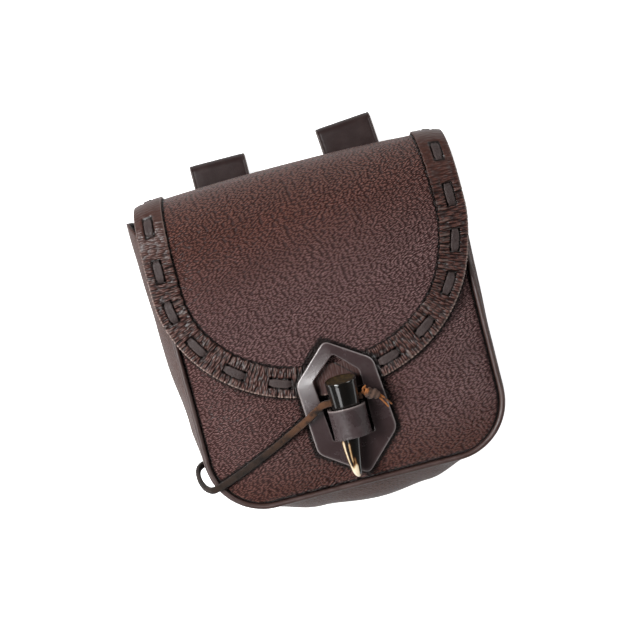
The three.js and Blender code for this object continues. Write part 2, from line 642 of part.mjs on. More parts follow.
// A flat strap loop in the Y-Z plane, extruded across the strap's width
function beltLoop(loop) {
  const stadium = (inset) => {
    const radius = LOOP_STACK / 2 - inset;
    const [a, b] = [loop.low + LOOP_STACK / 2, loop.high - LOOP_STACK / 2];
    const line = [];
    for (let i = 0; i <= LOOP.roundSteps; i++) {
      const angle = -Math.PI / 2 + (Math.PI * i) / LOOP.roundSteps;
      line.push(new THREE.Vector2(b + radius * Math.cos(angle), LOOP_STACK / 2 + radius * Math.sin(angle)));
    }
    for (let i = 0; i <= LOOP.roundSteps; i++) {
      const angle = Math.PI / 2 + (Math.PI * i) / LOOP.roundSteps;
      line.push(new THREE.Vector2(a + radius * Math.cos(angle), LOOP_STACK / 2 + radius * Math.sin(angle)));
    }
    return line;
  };
  const shape = new THREE.Shape(stadium(0));
  shape.holes.push(new THREE.Path(stadium(LOOP_LEATHER)));
  const geometry = new THREE.ExtrudeGeometry(shape, { depth: LOOP.width, bevelEnabled: false });
  const middle = (loop.low + loop.high) / 2;
  const place = new THREE.Matrix4().makeBasis(point(0, 1, 0), point(0, 0, 1), point(1, 0, 0));
  geometry.applyMatrix4(place).translate(-LOOP.width / 2, -middle, 0);
  geometry.rotateZ(degToRad(loop.turnDeg)).translate(loop.x, middle, 0);
  return geometry;
}

const pouch = new THREE.Group();
const cords = ['thong', 'thong_knot'];

function add(name, geometry, material) {
  const mesh = new THREE.Mesh(geometry, material);
  mesh.name = name;
  pouch.add(mesh);
}

add('front_panel', frontPanel(), PEBBLED);
add('back_panel', backPanel(), PEBBLED);
add('gusset', gusset(), PEBBLED);
add('front_piping', frontPiping(), SMOOTH);
add('flap', flap(), PEBBLED);
add('flap_border', flapBorder(), PEBBLED);
add('border_lace', borderLace(), LACE_BROWN);
add('closure_plate', closurePlate(), SMOOTH);
add('keeper_loop', keeperLoop(), SMOOTH);
add('horn_toggle', hornToggle(), HORN_BLACK);
add('thong', thong(), THONG_BROWN);
add('thong_knot', thongKnot(), THONG_BROWN);
for (const loop of LOOPS) add(loop.name, beltLoop(loop), SMOOTH);

// The frame's origin lies under the middle of the pouch, its cord apart
const box = new THREE.Box3();
for (const mesh of pouch.children) {
  if (!cords.includes(mesh.name)) box.expandByObject(mesh);
}
const middle = box.getCenter(new THREE.Vector3());
pouch.position.set(-middle.x, -middle.y, 0);

const part = new THREE.Group();
part.add(pouch);

export default part;
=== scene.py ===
import math
from types import SimpleNamespace as Sizes

import bmesh
import bpy
import numpy as np
from mathutils import Matrix, Vector


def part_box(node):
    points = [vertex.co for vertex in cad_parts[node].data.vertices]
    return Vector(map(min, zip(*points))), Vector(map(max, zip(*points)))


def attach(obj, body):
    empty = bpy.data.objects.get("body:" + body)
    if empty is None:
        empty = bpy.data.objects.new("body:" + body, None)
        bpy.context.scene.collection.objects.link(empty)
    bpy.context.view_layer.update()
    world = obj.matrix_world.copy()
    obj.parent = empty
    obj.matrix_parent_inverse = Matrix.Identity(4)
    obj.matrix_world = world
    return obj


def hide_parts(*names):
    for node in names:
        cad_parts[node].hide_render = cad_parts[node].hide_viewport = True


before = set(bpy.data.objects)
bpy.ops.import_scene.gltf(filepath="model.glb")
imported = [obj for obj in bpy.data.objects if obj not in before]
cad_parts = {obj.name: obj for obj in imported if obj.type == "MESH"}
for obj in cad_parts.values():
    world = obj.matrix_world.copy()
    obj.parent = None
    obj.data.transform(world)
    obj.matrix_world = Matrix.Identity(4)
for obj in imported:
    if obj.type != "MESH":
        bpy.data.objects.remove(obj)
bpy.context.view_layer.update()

# All sizes are millimetres in the pouch's own frame; the left belt loop's box says where that frame is.
MM = 0.001
LOOP_CENTRE = (-36.7, 69.65)
loop_low, loop_high = (np.array(corner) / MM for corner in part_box("belt_loop_left"))
SHIFT = np.append((loop_low + loop_high)[:2] / 2 - LOOP_CENTRE, 0.0)

GAP = 0.3
THICK = Sizes(body=2.0, flap=1.6, border=1.5, lace=1.0, plate=3.2, keeper=2.2, loop=2.2)

# Body: the front seam's U, its pillow, the gusset and the back; a furrow is a line, its width and its depth
FRONT = Sizes(half=81.2, bottom=-83.9, top=66.0, corner=29.5, seam_z=46.0, dome=8.0, reach=50.0, inset=0.25)
MOUTH_DIP = Sizes(start=40.0, drop=1.2)
FURROWS = (([(-74, -20), (-36, -38)], 8.0, 1.0), ([(27, -37), (64, -54)], 7.0, 1.3))
PIPING = Sizes(radius=1.55, out=1.55, z=46.4)
GUSSET = Sizes(out=1.55, front_z=43.9, above_back=1.4, mouth_front=66.0, mouth_middle=83.0, mouth_back=80.0,
               wide=60.0)
BULGE_ALONG = [0.0, 0.16, 0.25, 0.29, 0.37, 0.44, 0.51, 0.57, 0.63, 0.76, 0.86, 0.94, 1.0]
BULGE_OUT = [9.3, 7.3, 4.0, 2.2, 2.0, 9.4, 12.7, 10.0, 2.0, 2.1, 3.2, 4.6, 4.8]
BACK = Sizes(out=2.6, top=82.0, lift_from=-24.0, lift_to=32.0)
LOOP = Sizes(width=31.5, tunnel=5.2, crease=0.895)
LOOPS = [
    Sizes(name="belt_loop_left", x=-36.7, low=35.0, high=104.3, turn=0.0),
    Sizes(name="belt_loop_right", x=38.9, low=37.0, high=108.0, turn=4.6),
]
LOOP_STACK = 2 * THICK.loop + LOOP.tunnel
BACK_LIFT = LOOP_STACK + GAP

# Flap, its fold and its border; an edge is a half width, a depth and an exponent
FLAP = Sizes(edge_z=49.0, crown=6.5, crown_half=90.0, crown_power=4.0, fold_y=66.0, fold_length=78.0, hem=5.0)
FOLD = Sizes(reach=26.2, arch=3.0, corner_from=74.0, corner_span=14.0, corner_drop=2.4, end=144.0)
NARROWS = Sizes(start=56.0, by=4.0)
LEANS = Sizes(start=50.0, full=26.0, by=1.2)
END_CENTRE = 50.0
OUTER_EDGE = (88.0, 83.0, 2.12)
INNER_EDGE = (72.4, 66.3, 2.22)
TUCKED_EDGE = (77.1, 70.9, 2.2)
HEM_Z = BACK_LIFT + THICK.body + GAP + THICK.flap / 2
BORDER = Sizes(end_v=122.0, straight_radius=80.0, wide=15.0, low=THICK.flap / 2 + GAP, step=0.36)
BORDER_PLACES = np.array([
    0.0, 0.012, 0.04, 0.09, 0.15, 0.21, 0.27, 0.32, 0.36, 0.385, 0.43, 0.48, 0.53, 0.58, 0.63,
    0.675, 0.70, 0.74, 0.79, 0.84, 0.89, 0.925, 0.955, 0.978, 0.993, 1.0,
])
LACE = Sizes(width=4.5, place=0.53, sink=0.25, dip=0.35, dive=1.2, level=2.6, crown=0.1, lead=14, step=0.7)
STITCHES = np.array([
    -176.5, -152.5, -128.5, -105.5, -82.0, -57.5, -32.0, 29.0, 54.5, 81.5, 105.0, 130.0, 154.0, 177.0,
])
SLIT = Sizes(long=1.7, inner=0.359, outer=0.701, open_within=150)

# The border's crinkles are a length, a height and a seed; tucks lie at these offsets from each stitch
CRINKLES = ((1.55, 0.15, 53), (2.1, 0.24, 54), (3.7, 0.24, 55))
TUCK_OFFSETS = (-8.2, -4.6, -1.0, 2.6, 6.4, 9.6)
TUCKED_WITHIN = 160
BEAD_LENGTH = 1.95

# Closure: plate, window, horn, keeper, thong and knot
PLATE = Sizes(x=-1.3, y=-42.5, turn=4.0, corner=3.5, rim=0.7)
PLATE_CORNERS = [(-0.5, 39.3), (-22.3, 20.8), (-22.7, -19.3), (0.5, -38.4), (22.7, -18.6), (22.0, 22.0)]
WINDOW_CORNERS = [(2.0, 31.0), (-12.8, 20.0), (-12.3, -15.0), (-0.8, -15.8), (10.4, -16.6), (12.8, 18.5)]
WINDOW_ROUND = 1.6
# Dark lines of painted shade lie along these leather edges seen through the plate's window
WINDOW_CUT = [(-13.6, -23.6), (-3.4, -15.0), (8.6, -26.0)]
CUT_WIDE = 0.45
PLATE_BEND = Sizes(z=59.0, start=-28.0, per=34.0, drop=5.7, power=1.2)
HORN_TOP = np.array([-1.1, -24.8, 69.1])
HORN_TIP = np.array([-4.2, -80.0, 59.1])
HORN_SWAY = 0.58
HORN_ALONG = [0.0, 0.02, 0.22, 0.4, 0.58, 0.74, 0.88, 0.96, 1.0]
HORN_RADIUS = [8.4, 8.6, 7.9, 6.9, 5.8, 4.7, 3.2, 1.9, 0.4]

# The horn's sawn end, ring by ring: its radius, how far it is hollowed, and how much it looks sawn
CUT_RADIUS = [0.3, 3.4, 6.4, 7.3, 7.9, 8.2]
CUT_HOLLOW = [0.9, 0.85, 0.75, 0.55, 0.2, 0.03]
CUT_LOOK = [1.0, 1.0, 1.0, 0.8, 0.45, 0.6]
KEEPER = Sizes(x=-1.45, high=-40.4, low=-57.4, half=10.4, crown_z=76.75, slope=0.2)
THONG_ROUTE = [
    (8.4, -36.3, 66.9), (0, -36.3, 66.9), (-9, -36.3, 66.9), (-13.5, -36.6, 66.4), (-18.5, -39.4, 64.7),
    (-23.5, -42.6, 62.6), (-28, -45.2, 60.1), (-34, -48.4, 57.3), (-41, -52, 56.2), (-50, -56.2, 55.2),
    (-59, -60.2, 53.9), (-67, -63.6, 52.1), (-74, -66.3, 50.6), (-79.5, -68.1, 50.4), (-83.6, -68.8, 48.5),
    (-87, -67.2, 44), (-89.1, -64, 38.4), (-89.8, -60.9, 32.4), (-89.2, -58.6, 26.9), (-87, -57.3, 22.8),
    (-83.3, -57, 19.9),
]
ON_LEATHER = slice(3, 15)
THONG = Sizes(wide=3.9, thick=2.7)
KNOT_FROM = np.array([10.3, -35.4, 66.6])
KNOT_TO = np.array([17.6, -38.8, 63.8])
KNOT_ALONG = [0, 0.08, 0.3, 0.55, 0.75, 0.95, 1]
KNOT_RADIUS = [1.2, 2.5, 3.1, 2.6, 2.7, 1.7, 0.6]
KNOT_WRAPS = 2.4
KNOT_TAILS = [
    ((15.7, -37.2, 64.2), (19.7, -40.5, 63.4), (22.8, -45.8, 62.1)),
    ((15.7, -38.0, 64.0), (18.8, -42.2, 63.0), (20.8, -46.8, 61.9)),
]


# Small helpers for shapes

def smooth(value, low, high):
    t = np.clip((value - low) / (high - low), 0.0, 1.0)
    return t * t * (3 - 2 * t)


def mix(a, b, t):
    return a + (b - a) * t


def power(base, exponent):
    return np.maximum(base, 0.0) ** exponent


def bell(distance, wide):
    """1 at no distance, falling to nothing over about twice that width."""
    return np.exp(-(distance / wide) ** 2)


def past(distance, clear=0.0):
    return np.maximum(distance - clear, 0)


def strongest(*amounts):
    return np.maximum.reduce(amounts)


def stack(x, y, z):
    return np.stack(np.broadcast_arrays(x, y, z), axis=-1).astype(float)


def unit(v):
    return v / np.maximum(np.linalg.norm(v, axis=-1, keepdims=True), 1e-9)


def turned(x, y, degrees):
    turn = math.radians(degrees)
    return x * math.cos(turn) - y * math.sin(turn), x * math.sin(turn) + y * math.cos(turn)


def grid(cols, rows):
    """Places from 0 to 1 across a piece and along it."""
    return np.linspace(0, 1, cols)[None, :], np.linspace(0, 1, rows)[:, None]


def around(sides):
    return np.linspace(0, 2 * np.pi, sides, endpoint=False)


def bow(a, b, c, t):
    """The curve from a to c that leans towards b."""
    return (1 - t) ** 2 * a + 2 * t * (1 - t) * b + t ** 2 * c


def step_lengths(line):
    return np.linalg.norm(np.diff(line, axis=0), axis=1)


def waves(x, y, length, seed, count=7):
    """A soft uneven swell from -1 to 1 with about that wavelength."""
    rng = np.random.default_rng(seed)
    total = np.zeros(np.broadcast(x, y).shape)
    for _ in range(count):
        turn = rng.uniform(0, 2 * np.pi)
        wave = length * rng.uniform(0.7, 1.6)
        total += np.sin((x * np.cos(turn) + y * np.sin(turn)) * 2 * np.pi / wave + rng.uniform(0, 2 * np.pi))
    return total / count


def surface_normals(points):
    along = np.gradient(points, axis=0)
    across = np.gradient(points, axis=1)
    return unit(np.cross(across, along))


def smooth_line(points, per_span):
    """A smooth curve through points, as the solids' cords follow."""
    points = np.array(points, float)
    ends = [2 * points[0] - points[1], *points, 2 * points[-1] - points[-2]]
    line = []
    for a, b, c, d in zip(ends, ends[1:], ends[2:], ends[3:]):
        for t in np.arange(per_span) / per_span:
            line.append(0.5 * (2 * b + (c - a) * t + (2 * a - 5 * b + 4 * c - d) * t ** 2
                               + (3 * b - a - 3 * c + d) * t ** 3))
    return np.array([*line, points[-1]])


# Making pieces

EDGE_ANGLE = math.radians(55)
scene = bpy.context.scene


def add(name, data):
    obj = bpy.data.objects.new(name, data)
    scene.collection.objects.link(obj)
    return obj


def piece(name, shape, finish, stands_for, marks=None, bevel=0.0):
    """A smooth shaded piece that rides on the pouch, with named marks on its points for the finish."""
    points, faces = shape
    mesh = bpy.data.meshes.new(name)
    mesh.from_pydata(((points.reshape(-1, 3) + SHIFT) * MM).tolist(), [], faces)
    for mark, values in (marks or {}).items():
        layer = mesh.attributes.new(mark, "FLOAT", "POINT")
        layer.data.foreach_set("value", np.broadcast_to(values, points.shape[:-1]).astype(np.float32).ravel())
    work = bmesh.new()
    work.from_mesh(mesh)
    bmesh.ops.recalc_face_normals(work, faces=work.faces)
    work.to_mesh(mesh)
    work.free()
    mesh.polygons.foreach_set("use_smooth", [True] * len(mesh.polygons))
    obj = add(name, mesh)
    mesh.materials.append(finish)
    if bevel:
        rounding = obj.modifiers.new("rounded edges", "BEVEL")
        rounding.width = bevel * MM
        rounding.segments = 3
        rounding.limit_method = "ANGLE"
        rounding.angle_limit = EDGE_ANGLE
    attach(obj, "root")
    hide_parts(*stands_for)
    return obj


def lay(x, y):
    """Marks that say where the leather's points lie when it is flat, for its grain."""
    return {"lay_x": x * MM, "lay_y": y * MM}


def two_sided(outside, inside):
    """Amounts for the outside and the inside of a wall's marks."""
    return np.array([outside, inside])[:, None, None]


def wall(top, bottom, closed=False, holes=None):
    """Points and faces of a closed wall between two grids of points; holes marks cells left open."""
    rows, cols = top.shape[:2]
    cells = cols if closed else cols - 1
    solid = np.ones((rows - 1, cells), bool) if holes is None else ~holes

    def at(side, i, j):
        return (side * rows + i) * cols + j % cols

    def filled(i, j):
        return 0 <= i < rows - 1 and (closed or 0 <= j < cells) and solid[i, j % cells]

    faces = []
    for i, j in np.argwhere(solid).tolist():
        a, b, c, d = (i, j), (i, j + 1), (i + 1, j + 1), (i + 1, j)
        beyond = (((i - 1, j), b, a), ((i + 1, j), d, c), ((i, j - 1), a, d), ((i, j + 1), c, b))
        faces += [tuple(at(0, *spot) for spot in (a, b, c, d)), tuple(at(1, *spot) for spot in (a, d, c, b))]
        for cell, start, end in beyond:
            if not filled(*cell):
                faces.append((at(0, *start), at(0, *end), at(1, *end), at(1, *start)))
    return np.stack([top, bottom]), faces


def loft(rings):
    """Points and faces of a solid through closed rings, with flat ends."""
    steps, sides = rings.shape[:2]
    faces = []
    for i in range(steps - 1):
        for j in range(sides):
            k = (j + 1) % sides
            faces.append((i * sides + j, i * sides + k, (i + 1) * sides + k, (i + 1) * sides + j))
    faces.append(tuple(range(sides)))
    faces.append(tuple((steps - 1) * sides + j for j in reversed(range(sides))))
    return rings, faces


def swept(line, side, up, across, over):
    """Rings of points about a line, from their distances to the side and up."""
    side, up = np.reshape(side, (-1, 1, 3)), np.reshape(up, (-1, 1, 3))
    return line[:, None] + side * across[..., None] + up * over[..., None]


def steady_frames(line, first_side):
    """Side and up directions along a line, turning as little as they can."""
    forward = unit(np.gradient(line, axis=0))
    side = np.array(first_side, float)
    sides = []
    for step in forward:
        side = side - step * np.dot(side, step)
        side = side / np.linalg.norm(side)
        sides.append(side)
    return np.array(sides), np.cross(forward, sides)


def cord_rings(line, wide, thick, sides, first_side, rough, seed):
    """Rings of a flattened cord along a line, with a little unevenness."""
    squareness = 2 / 2.6
    rng = np.random.default_rng(seed)
    side, up = steady_frames(line, first_side)
    cosine, sine = np.cos(around(sides)), np.sin(around(sides))
    across = np.sign(cosine) * np.abs(cosine) ** squareness * wide / 2
    over = np.sign(sine) * np.abs(sine) ** squareness * thick / 2
    grow = 1 + rough * rng.normal(0, 1, (len(line), sides))
    for _ in range(2):
        grow = (np.roll(grow, 1, 1) + grow + np.roll(grow, -1, 1)) / 3
    return swept(line, side, up, across * grow, over * grow)


# Finishes: shared effects as node groups

def fill(made, values):
    """Gives each named input of a node its value, or links it to a socket."""
    for key, value in values.items():
        if isinstance(value, bpy.types.NodeSocket):
            made.id_data.links.new(value, made.inputs[key])
        else:
            made.inputs[key].default_value = value


def node(tree, kind, values=None, **settings):
    made = tree.nodes.new(kind)
    for key, value in settings.items():
        setattr(made, key, value)
    fill(made, values or {})
    return made


def noise(where, **values):
    """A noise texture at a place, in the place's own tree."""
    values = {key.title(): value for key, value in values.items()}
    return node(where.id_data, "ShaderNodeTexNoise", {"Vector": where, **values}).outputs


def arithmetic(operation, first, second):
    return node(first.id_data, "ShaderNodeMath", {0: first, 1: second}, operation=operation).outputs[0]


def times(first, second):
    return arithmetic("MULTIPLY", first, second)


def ranged(value, low, high, out_low=0.0, out_high=1.0):
    values = {"Value": value, "From Min": low, "From Max": high, "To Min": out_low, "To Max": out_high}
    return node(value.id_data, "ShaderNodeMapRange", values, interpolation_type="SMOOTHSTEP").outputs["Result"]


def blended(factor, first, second, way="MIX"):
    """A colour between two, which may be sockets or plain colours."""
    first, second = ((*value, 1.0) if isinstance(value, tuple) else value for value in (first, second))
    made = node(factor.id_data, "ShaderNodeMix", data_type="RGBA", blend_type=way)
    fill(made, {0: factor, 6: first, 7: second})
    return made.outputs[2]


def effect(name, inputs, outputs):
    """An empty shader node group, with its inputs' sockets and its output node."""
    kinds = {"value": "NodeSocketFloat", "color": "NodeSocketColor", "vector": "NodeSocketVector"}
    tree = bpy.data.node_groups.new(name, "ShaderNodeTree")
    for sockets, way in ((inputs, "INPUT"), (outputs, "OUTPUT")):
        for socket, kind in sockets.items():
            tree.interface.new_socket(socket, in_out=way, socket_type=kinds[kind])
    return tree, tree.nodes.new("NodeGroupInput").outputs, tree.nodes.new("NodeGroupOutput")


def grain_group():
    """Grained leather: small drawn-out pebbles with dark creases between, and large cloudy patches."""
    tree, start, end = effect("leather grain", {"Vector": "vector", "Pebbles": "value"},
                              dict.fromkeys(("Height", "Crest", "Crease", "Mottle"), "value"))
    where = start["Vector"]
    sway = noise(where, scale=55.0, detail=1.0)["Color"]
    swing = node(tree, "ShaderNodeVectorMath", {0: sway, "Scale": 0.003}, operation="SCALE").outputs[0]
    moved = node(tree, "ShaderNodeVectorMath", {0: where, 1: swing}, operation="ADD").outputs[0]
    pebble = node(tree, "ShaderNodeTexVoronoi", voronoi_dimensions="2D")
    fill(pebble, {"Vector": moved, "Scale": start["Pebbles"], "Randomness": 0.75})
    from_middle = pebble.outputs["Distance"]
    fill(end, {
        "Height": ranged(from_middle, 0.05, 0.75, 1.0, 0.0),
        "Crest": ranged(from_middle, 0.06, 0.4, 1.0, 0.0),
        "Crease": ranged(from_middle, 0.26, 0.62),
        "Mottle": noise(where, scale=28.0, detail=3.0, roughness=0.6)["Fac"],
    })
    return tree


def painted_shade_group():
    """Painted shade where a mark says so, ragged at its edge."""
    # The colour of the painted shade
    shade_colour = (0.004, 0.0025, 0.002)
    tree, start, end = effect("painted shade", {"Vector": "vector", "Colour": "color", "Mark": "value"},
                              {"Colour": "color"})
    ragged = noise(start["Vector"], scale=750.0, detail=5.0, roughness=0.7)["Fac"]
    wander = times(arithmetic("SUBTRACT", ragged, 0.5), 1.2)
    spread = arithmetic("ADD", start["Mark"], wander)
    amount = times(ranged(spread, 0.3, 0.75, 0.0, 0.92), ranged(start["Mark"], 0.02, 0.2))
    fill(end, {"Colour": blended(amount, start["Colour"], shade_colour)})
    return tree


def smooth_group():
    """Smooth leather: fine pores, faint wrinkles and scuffs."""
    tree, start, end = effect("smooth grain", {"Vector": "vector"}, {"Height": "value", "Scuff": "value"})
    where = start["Vector"]
    pores = node(tree, "ShaderNodeTexVoronoi", {"Vector": where, "Scale": 1600.0}, feature="DISTANCE_TO_EDGE")
    wrinkles = noise(where, scale=270.0, detail=5.0, roughness=0.62, distortion=0.6)["Fac"]
    scuffs = noise(where, scale=90.0, detail=6.0, roughness=0.7)["Fac"]
    height = arithmetic("ADD", times(ranged(pores.outputs["Distance"], 0.0, 0.3), 0.3),
                        times(wrinkles, 0.7))
    fill(end, {"Height": height, "Scuff": ranged(scuffs, 0.42, 0.68)})
    return tree


GRAIN = grain_group()
PAINTED_SHADE = painted_shade_group()
SMOOTHNESS = smooth_group()


def finish_base(name):
    material = bpy.data.materials.new(name)
    material.use_nodes = True
    tree = material.node_tree
    tree.nodes.clear()
    shader = node(tree, "ShaderNodeBsdfPrincipled")
    node(tree, "ShaderNodeOutputMaterial", {"Surface": shader.outputs["BSDF"]})
    return material, tree, shader, node(tree, "ShaderNodeTexCoord").outputs["Object"]


def mark_value(tree, name):
    return node(tree, "ShaderNodeAttribute", attribute_name=name).outputs["Fac"]


def use(tree, group, values):
    """One of the shared effects."""
    return node(tree, "ShaderNodeGroup", values, node_tree=group).outputs


def shaded(colour, where):
    """A colour with painted shade where the piece's shade mark is."""
    tree = where.id_data
    return use(tree, PAINTED_SHADE, {"Vector": where, "Colour": colour, "Mark": mark_value(tree, "shade")})["Colour"]


def relief(height, depth):
    """Relief of a depth in millimetres."""
    values = {"Strength": 1.0, "Distance": depth * MM, "Height": height}
    return node(height.id_data, "ShaderNodeBump", values).outputs["Normal"]


# Painted highlight and painted shade in the grain: how much lighter the pebbles' tops are than the leather, and
# how much darker its creases
CREST_HIGHLIGHT = (2.1, 2.2, 2.2)
CREASE_SHADE = (0.27, 0.165, 0.155)


def grained_leather(name, tone, warm, paler_tone, pebbles=1240.0, depth=1.15, rough=0.42, stretch=3.0, turn=0.0,
                    creases=1.0, wear_and_highlight=(0.3, 0.2, 0.16), gathers=False):
    """Grained brown leather: painted highlight on its pebbles' tops and painted shade in its creases; where
    marked, a paler tone (painted sheen on the flap and front), paler edges from wear with painted highlight on
    the border's crests, and painted shade.
    """
    material, tree, shader, where = finish_base(name)
    flat = node(tree, "ShaderNodeCombineXYZ", {"X": mark_value(tree, "lay_x"), "Y": mark_value(tree, "lay_y")})
    drawn = {"Vector": flat.outputs[0], "Rotation": (0, 0, math.radians(turn)), "Scale": (stretch, 1.0, 1.0)}
    aligned = node(tree, "ShaderNodeMapping", drawn, vector_type="TEXTURE")
    grain = use(tree, GRAIN, {"Vector": aligned.outputs[0], "Pebbles": pebbles})
    height, crest, crease, mottle = (grain[key] for key in ("Height", "Crest", "Crease", "Mottle"))
    if gathers:
        tight = ranged(mark_value(tree, "gathered"), 0.0, 1.0, 0.12, 1.0)
        height, crest, crease = (times(value, tight) for value in (height, crest, crease))
    patchy = blended(ranged(mottle, 0.35, 0.65), tone, warm)
    # A paler tone where marked: painted sheen on the flap and front panel
    base = blended(mark_value(tree, "paler_mix"), patchy, paler_tone)
    # Painted highlight on the pebbles' tops and painted shade in the creases
    for part, tint in ((crest, CREST_HIGHLIGHT), (crease, CREASE_SHADE)):
        base = blended(times(part, creases), base, tint, "MULTIPLY")
    # Paler where marked: edges pale from wear, and on the border painted highlight on its crinkles' crests and
    # beads
    colour = blended(mark_value(tree, "wear_and_highlight"), base, wear_and_highlight)
    fill(shader, {
        "Base Color": shaded(colour, where),
        "Roughness": ranged(mottle, 0.3, 0.7, rough - 0.04, rough + 0.06),
        "Specular IOR Level": 0.38,
        "Normal": relief(height, depth),
    })
    return material


def smooth_leather(name, tone, scuffed, rough=0.36, depth=0.12, wear_and_highlight=(0.3, 0.22, 0.17), gloss=0.5, uneven=0.14):
    """Smooth vegetable-tanned strap leather with faint scuffs and paler cut edges."""
    material, tree, shader, where = finish_base(name)
    grain = use(tree, SMOOTHNESS, {"Vector": where})
    colour = blended(mark_value(tree, "wear_and_highlight"), blended(grain["Scuff"], tone, scuffed), wear_and_highlight)
    fill(shader, {
        "Base Color": shaded(colour, where),
        "Roughness": ranged(grain["Scuff"], 0.0, 1.0, rough, rough + uneven),
        "Specular IOR Level": gloss,
        "Normal": relief(grain["Height"], depth),
    })
    return material


def suede(name, light, dark):
    """Fibrous suede that darkens along the cord."""
    material, tree, shader, where = finish_base(name)
    fibres = noise(where, scale=1500.0, detail=5.0, roughness=0.75)["Fac"]
    patches = noise(where, scale=220.0, detail=3.0, roughness=0.6)["Fac"]
    along = blended(mark_value(tree, "along"), light, dark)
    deep = tuple(0.35 * c for c in dark)
    fill(shader, {
        "Base Color": blended(ranged(patches, 0.42, 0.72), along, deep),
        "Roughness": ranged(fibres, 0.3, 0.7, 0.75, 0.95),
        "Specular IOR Level": 0.25,
        "Sheen Weight": 0.1,
        "Normal": relief(fibres, 0.35),
    })
    return material


# From black through brown to cream, and the sawn end's two olive tones
HORN_TONES = [
    (0.0, (0.004, 0.0035, 0.003)), (0.3, (0.012, 0.007, 0.004)), (0.5, (0.13, 0.06, 0.022)),
    (0.72, (0.42, 0.28, 0.14)), (1.0, (0.72, 0.62, 0.45)),
]
SAWN_TONES = ((0.017, 0.011, 0.005), (0.07, 0.044, 0.016))


def polished_horn(name):
    """Black horn with brown and cream streaks that take over at the tip, and a sawn olive end."""
    material, tree, shader, where = finish_base(name)
    drawn = node(tree, "ShaderNodeMapping", {"Vector": where, "Scale": (620.0, 45.0, 620.0)})
    streaks = noise(drawn.outputs[0], scale=1.0, detail=4.0, roughness=0.6)["Fac"]
    wander = times(arithmetic("SUBTRACT", streaks, 0.5), 0.5)
    pale = arithmetic("ADD", mark_value(tree, "pale"), wander)
    tones = node(tree, "ShaderNodeValToRGB", {"Fac": pale})
    stops = tones.color_ramp.elements
    while len(stops) < len(HORN_TONES):
        stops.new(0.5)
    for stop, (place, colour) in zip(stops, HORN_TONES):
        stop.position = place
        stop.color = (*colour, 1.0)
    cut_end = mark_value(tree, "cut_end")
    sawn = blended(ranged(streaks, 0.4, 0.65), *SAWN_TONES)
    fill(shader, {
        "Base Color": blended(cut_end, tones.outputs["Color"], sawn),
        "Roughness": ranged(cut_end, 0.0, 1.0, 0.14, 0.5),
        "Coat Weight": ranged(cut_end, 0.0, 1.0, 0.5, 0.0),
        "Coat Roughness": 0.06,
    })
    return material


BROWN = (0.094, 0.038, 0.0295)
BROWN_WARM = (0.097, 0.035, 0.0255)
# The greyer tone that stands for painted sheen on the flap and front panel
BROWN_SHEEN = (0.132, 0.072, 0.07)

flap_leather = grained_leather("flap leather", BROWN, BROWN_WARM, BROWN_SHEEN, turn=15)
front_leather = grained_leather("front leather", BROWN, BROWN_WARM, BROWN_SHEEN, turn=16)
gusset_leather = grained_leather(
    "gusset leather", (0.054, 0.0205, 0.0145), (0.06, 0.021, 0.0135), BROWN_SHEEN, depth=0.4, creases=0.4)
border_leather = grained_leather(
    "border leather", (0.038, 0.0135, 0.0095), (0.042, 0.014, 0.009), (0.046, 0.0195, 0.0165), pebbles=760.0,
    depth=0.7, stretch=3.2, turn=90, wear_and_highlight=(0.36, 0.26, 0.225), gathers=True)
piping_leather = smooth_leather("piping leather", (0.04, 0.02, 0.017), (0.058, 0.032, 0.028))
lace_leather = smooth_leather(
    "lace leather", (0.034, 0.0225, 0.0215), (0.05, 0.035, 0.033), rough=0.45, depth=0.3,
    wear_and_highlight=(0.06, 0.044, 0.042), gloss=0.25)
plate_leather = smooth_leather(
    "plate leather", (0.036, 0.0215, 0.0222), (0.042, 0.026, 0.027), rough=0.24, depth=0.08,
    wear_and_highlight=(0.26, 0.225, 0.22), gloss=0.8, uneven=0.04)
keeper_leather = smooth_leather(
    "keeper leather", (0.038, 0.0255, 0.0265), (0.052, 0.036, 0.037), rough=0.26, depth=0.16,
    wear_and_highlight=(0.28, 0.23, 0.22))
loop_leather = smooth_leather(
    "belt loop leather", (0.017, 0.0082, 0.0078), (0.024, 0.0125, 0.0115), rough=0.4,
    wear_and_highlight=(0.16, 0.13, 0.12), gloss=0.25)
thong_suede = suede("thong suede", (0.085, 0.036, 0.016), (0.022, 0.012, 0.008))
knot_suede = suede("knot suede", (0.33, 0.115, 0.028), (0.085, 0.052, 0.04))
horn_finish = polished_horn("horn")


# Where pieces press on the leather: distances on the front, in plan

def edge_distance(x, y, edge):
    """How far inside one of the flap's U-shaped edges a place lies."""
    half, deep, exponent = edge
    below = past(END_CENTRE - y)
    ring = (power(np.abs(x) / half, exponent) + power(below / deep, exponent)) ** (1 / exponent)
    return np.where(below > 0, (1 - ring) * (half + deep) / 2, drawn_in(half, y) - np.abs(x))


def outside_of(corners, x, y):
    """How far outside an outline in the closure plate's own directions, drawn anticlockwise, a place lies."""
    px, py = turned(x - PLATE.x, y - PLATE.y, -PLATE.turn)
    beyond = []
    for (ax, ay), (bx, by) in zip(corners, corners[1:] + corners[:1]):
        long = math.hypot(bx - ax, by - ay)
        beyond.append(((px - ax) * (by - ay) - (py - ay) * (bx - ax)) / long)
    return np.maximum.reduce(beyond)


def in_window(x, y):
    """1 inside the closure plate's window."""
    return smooth(-outside_of(WINDOW_CORNERS, x, y), -1.0, 0.5)


def thong_distance(x, y):
    line = smooth_line(THONG_ROUTE[ON_LEATHER], per_span=6)
    return np.min(np.hypot(x[..., None] - line[:, 0], y[..., None] - line[:, 1]), axis=-1)


# Painted shade around the closure plate's outline
def closure_shade(x, y):
    return 0.95 * bell(past(outside_of(PLATE_CORNERS, x, y)), 2.8)


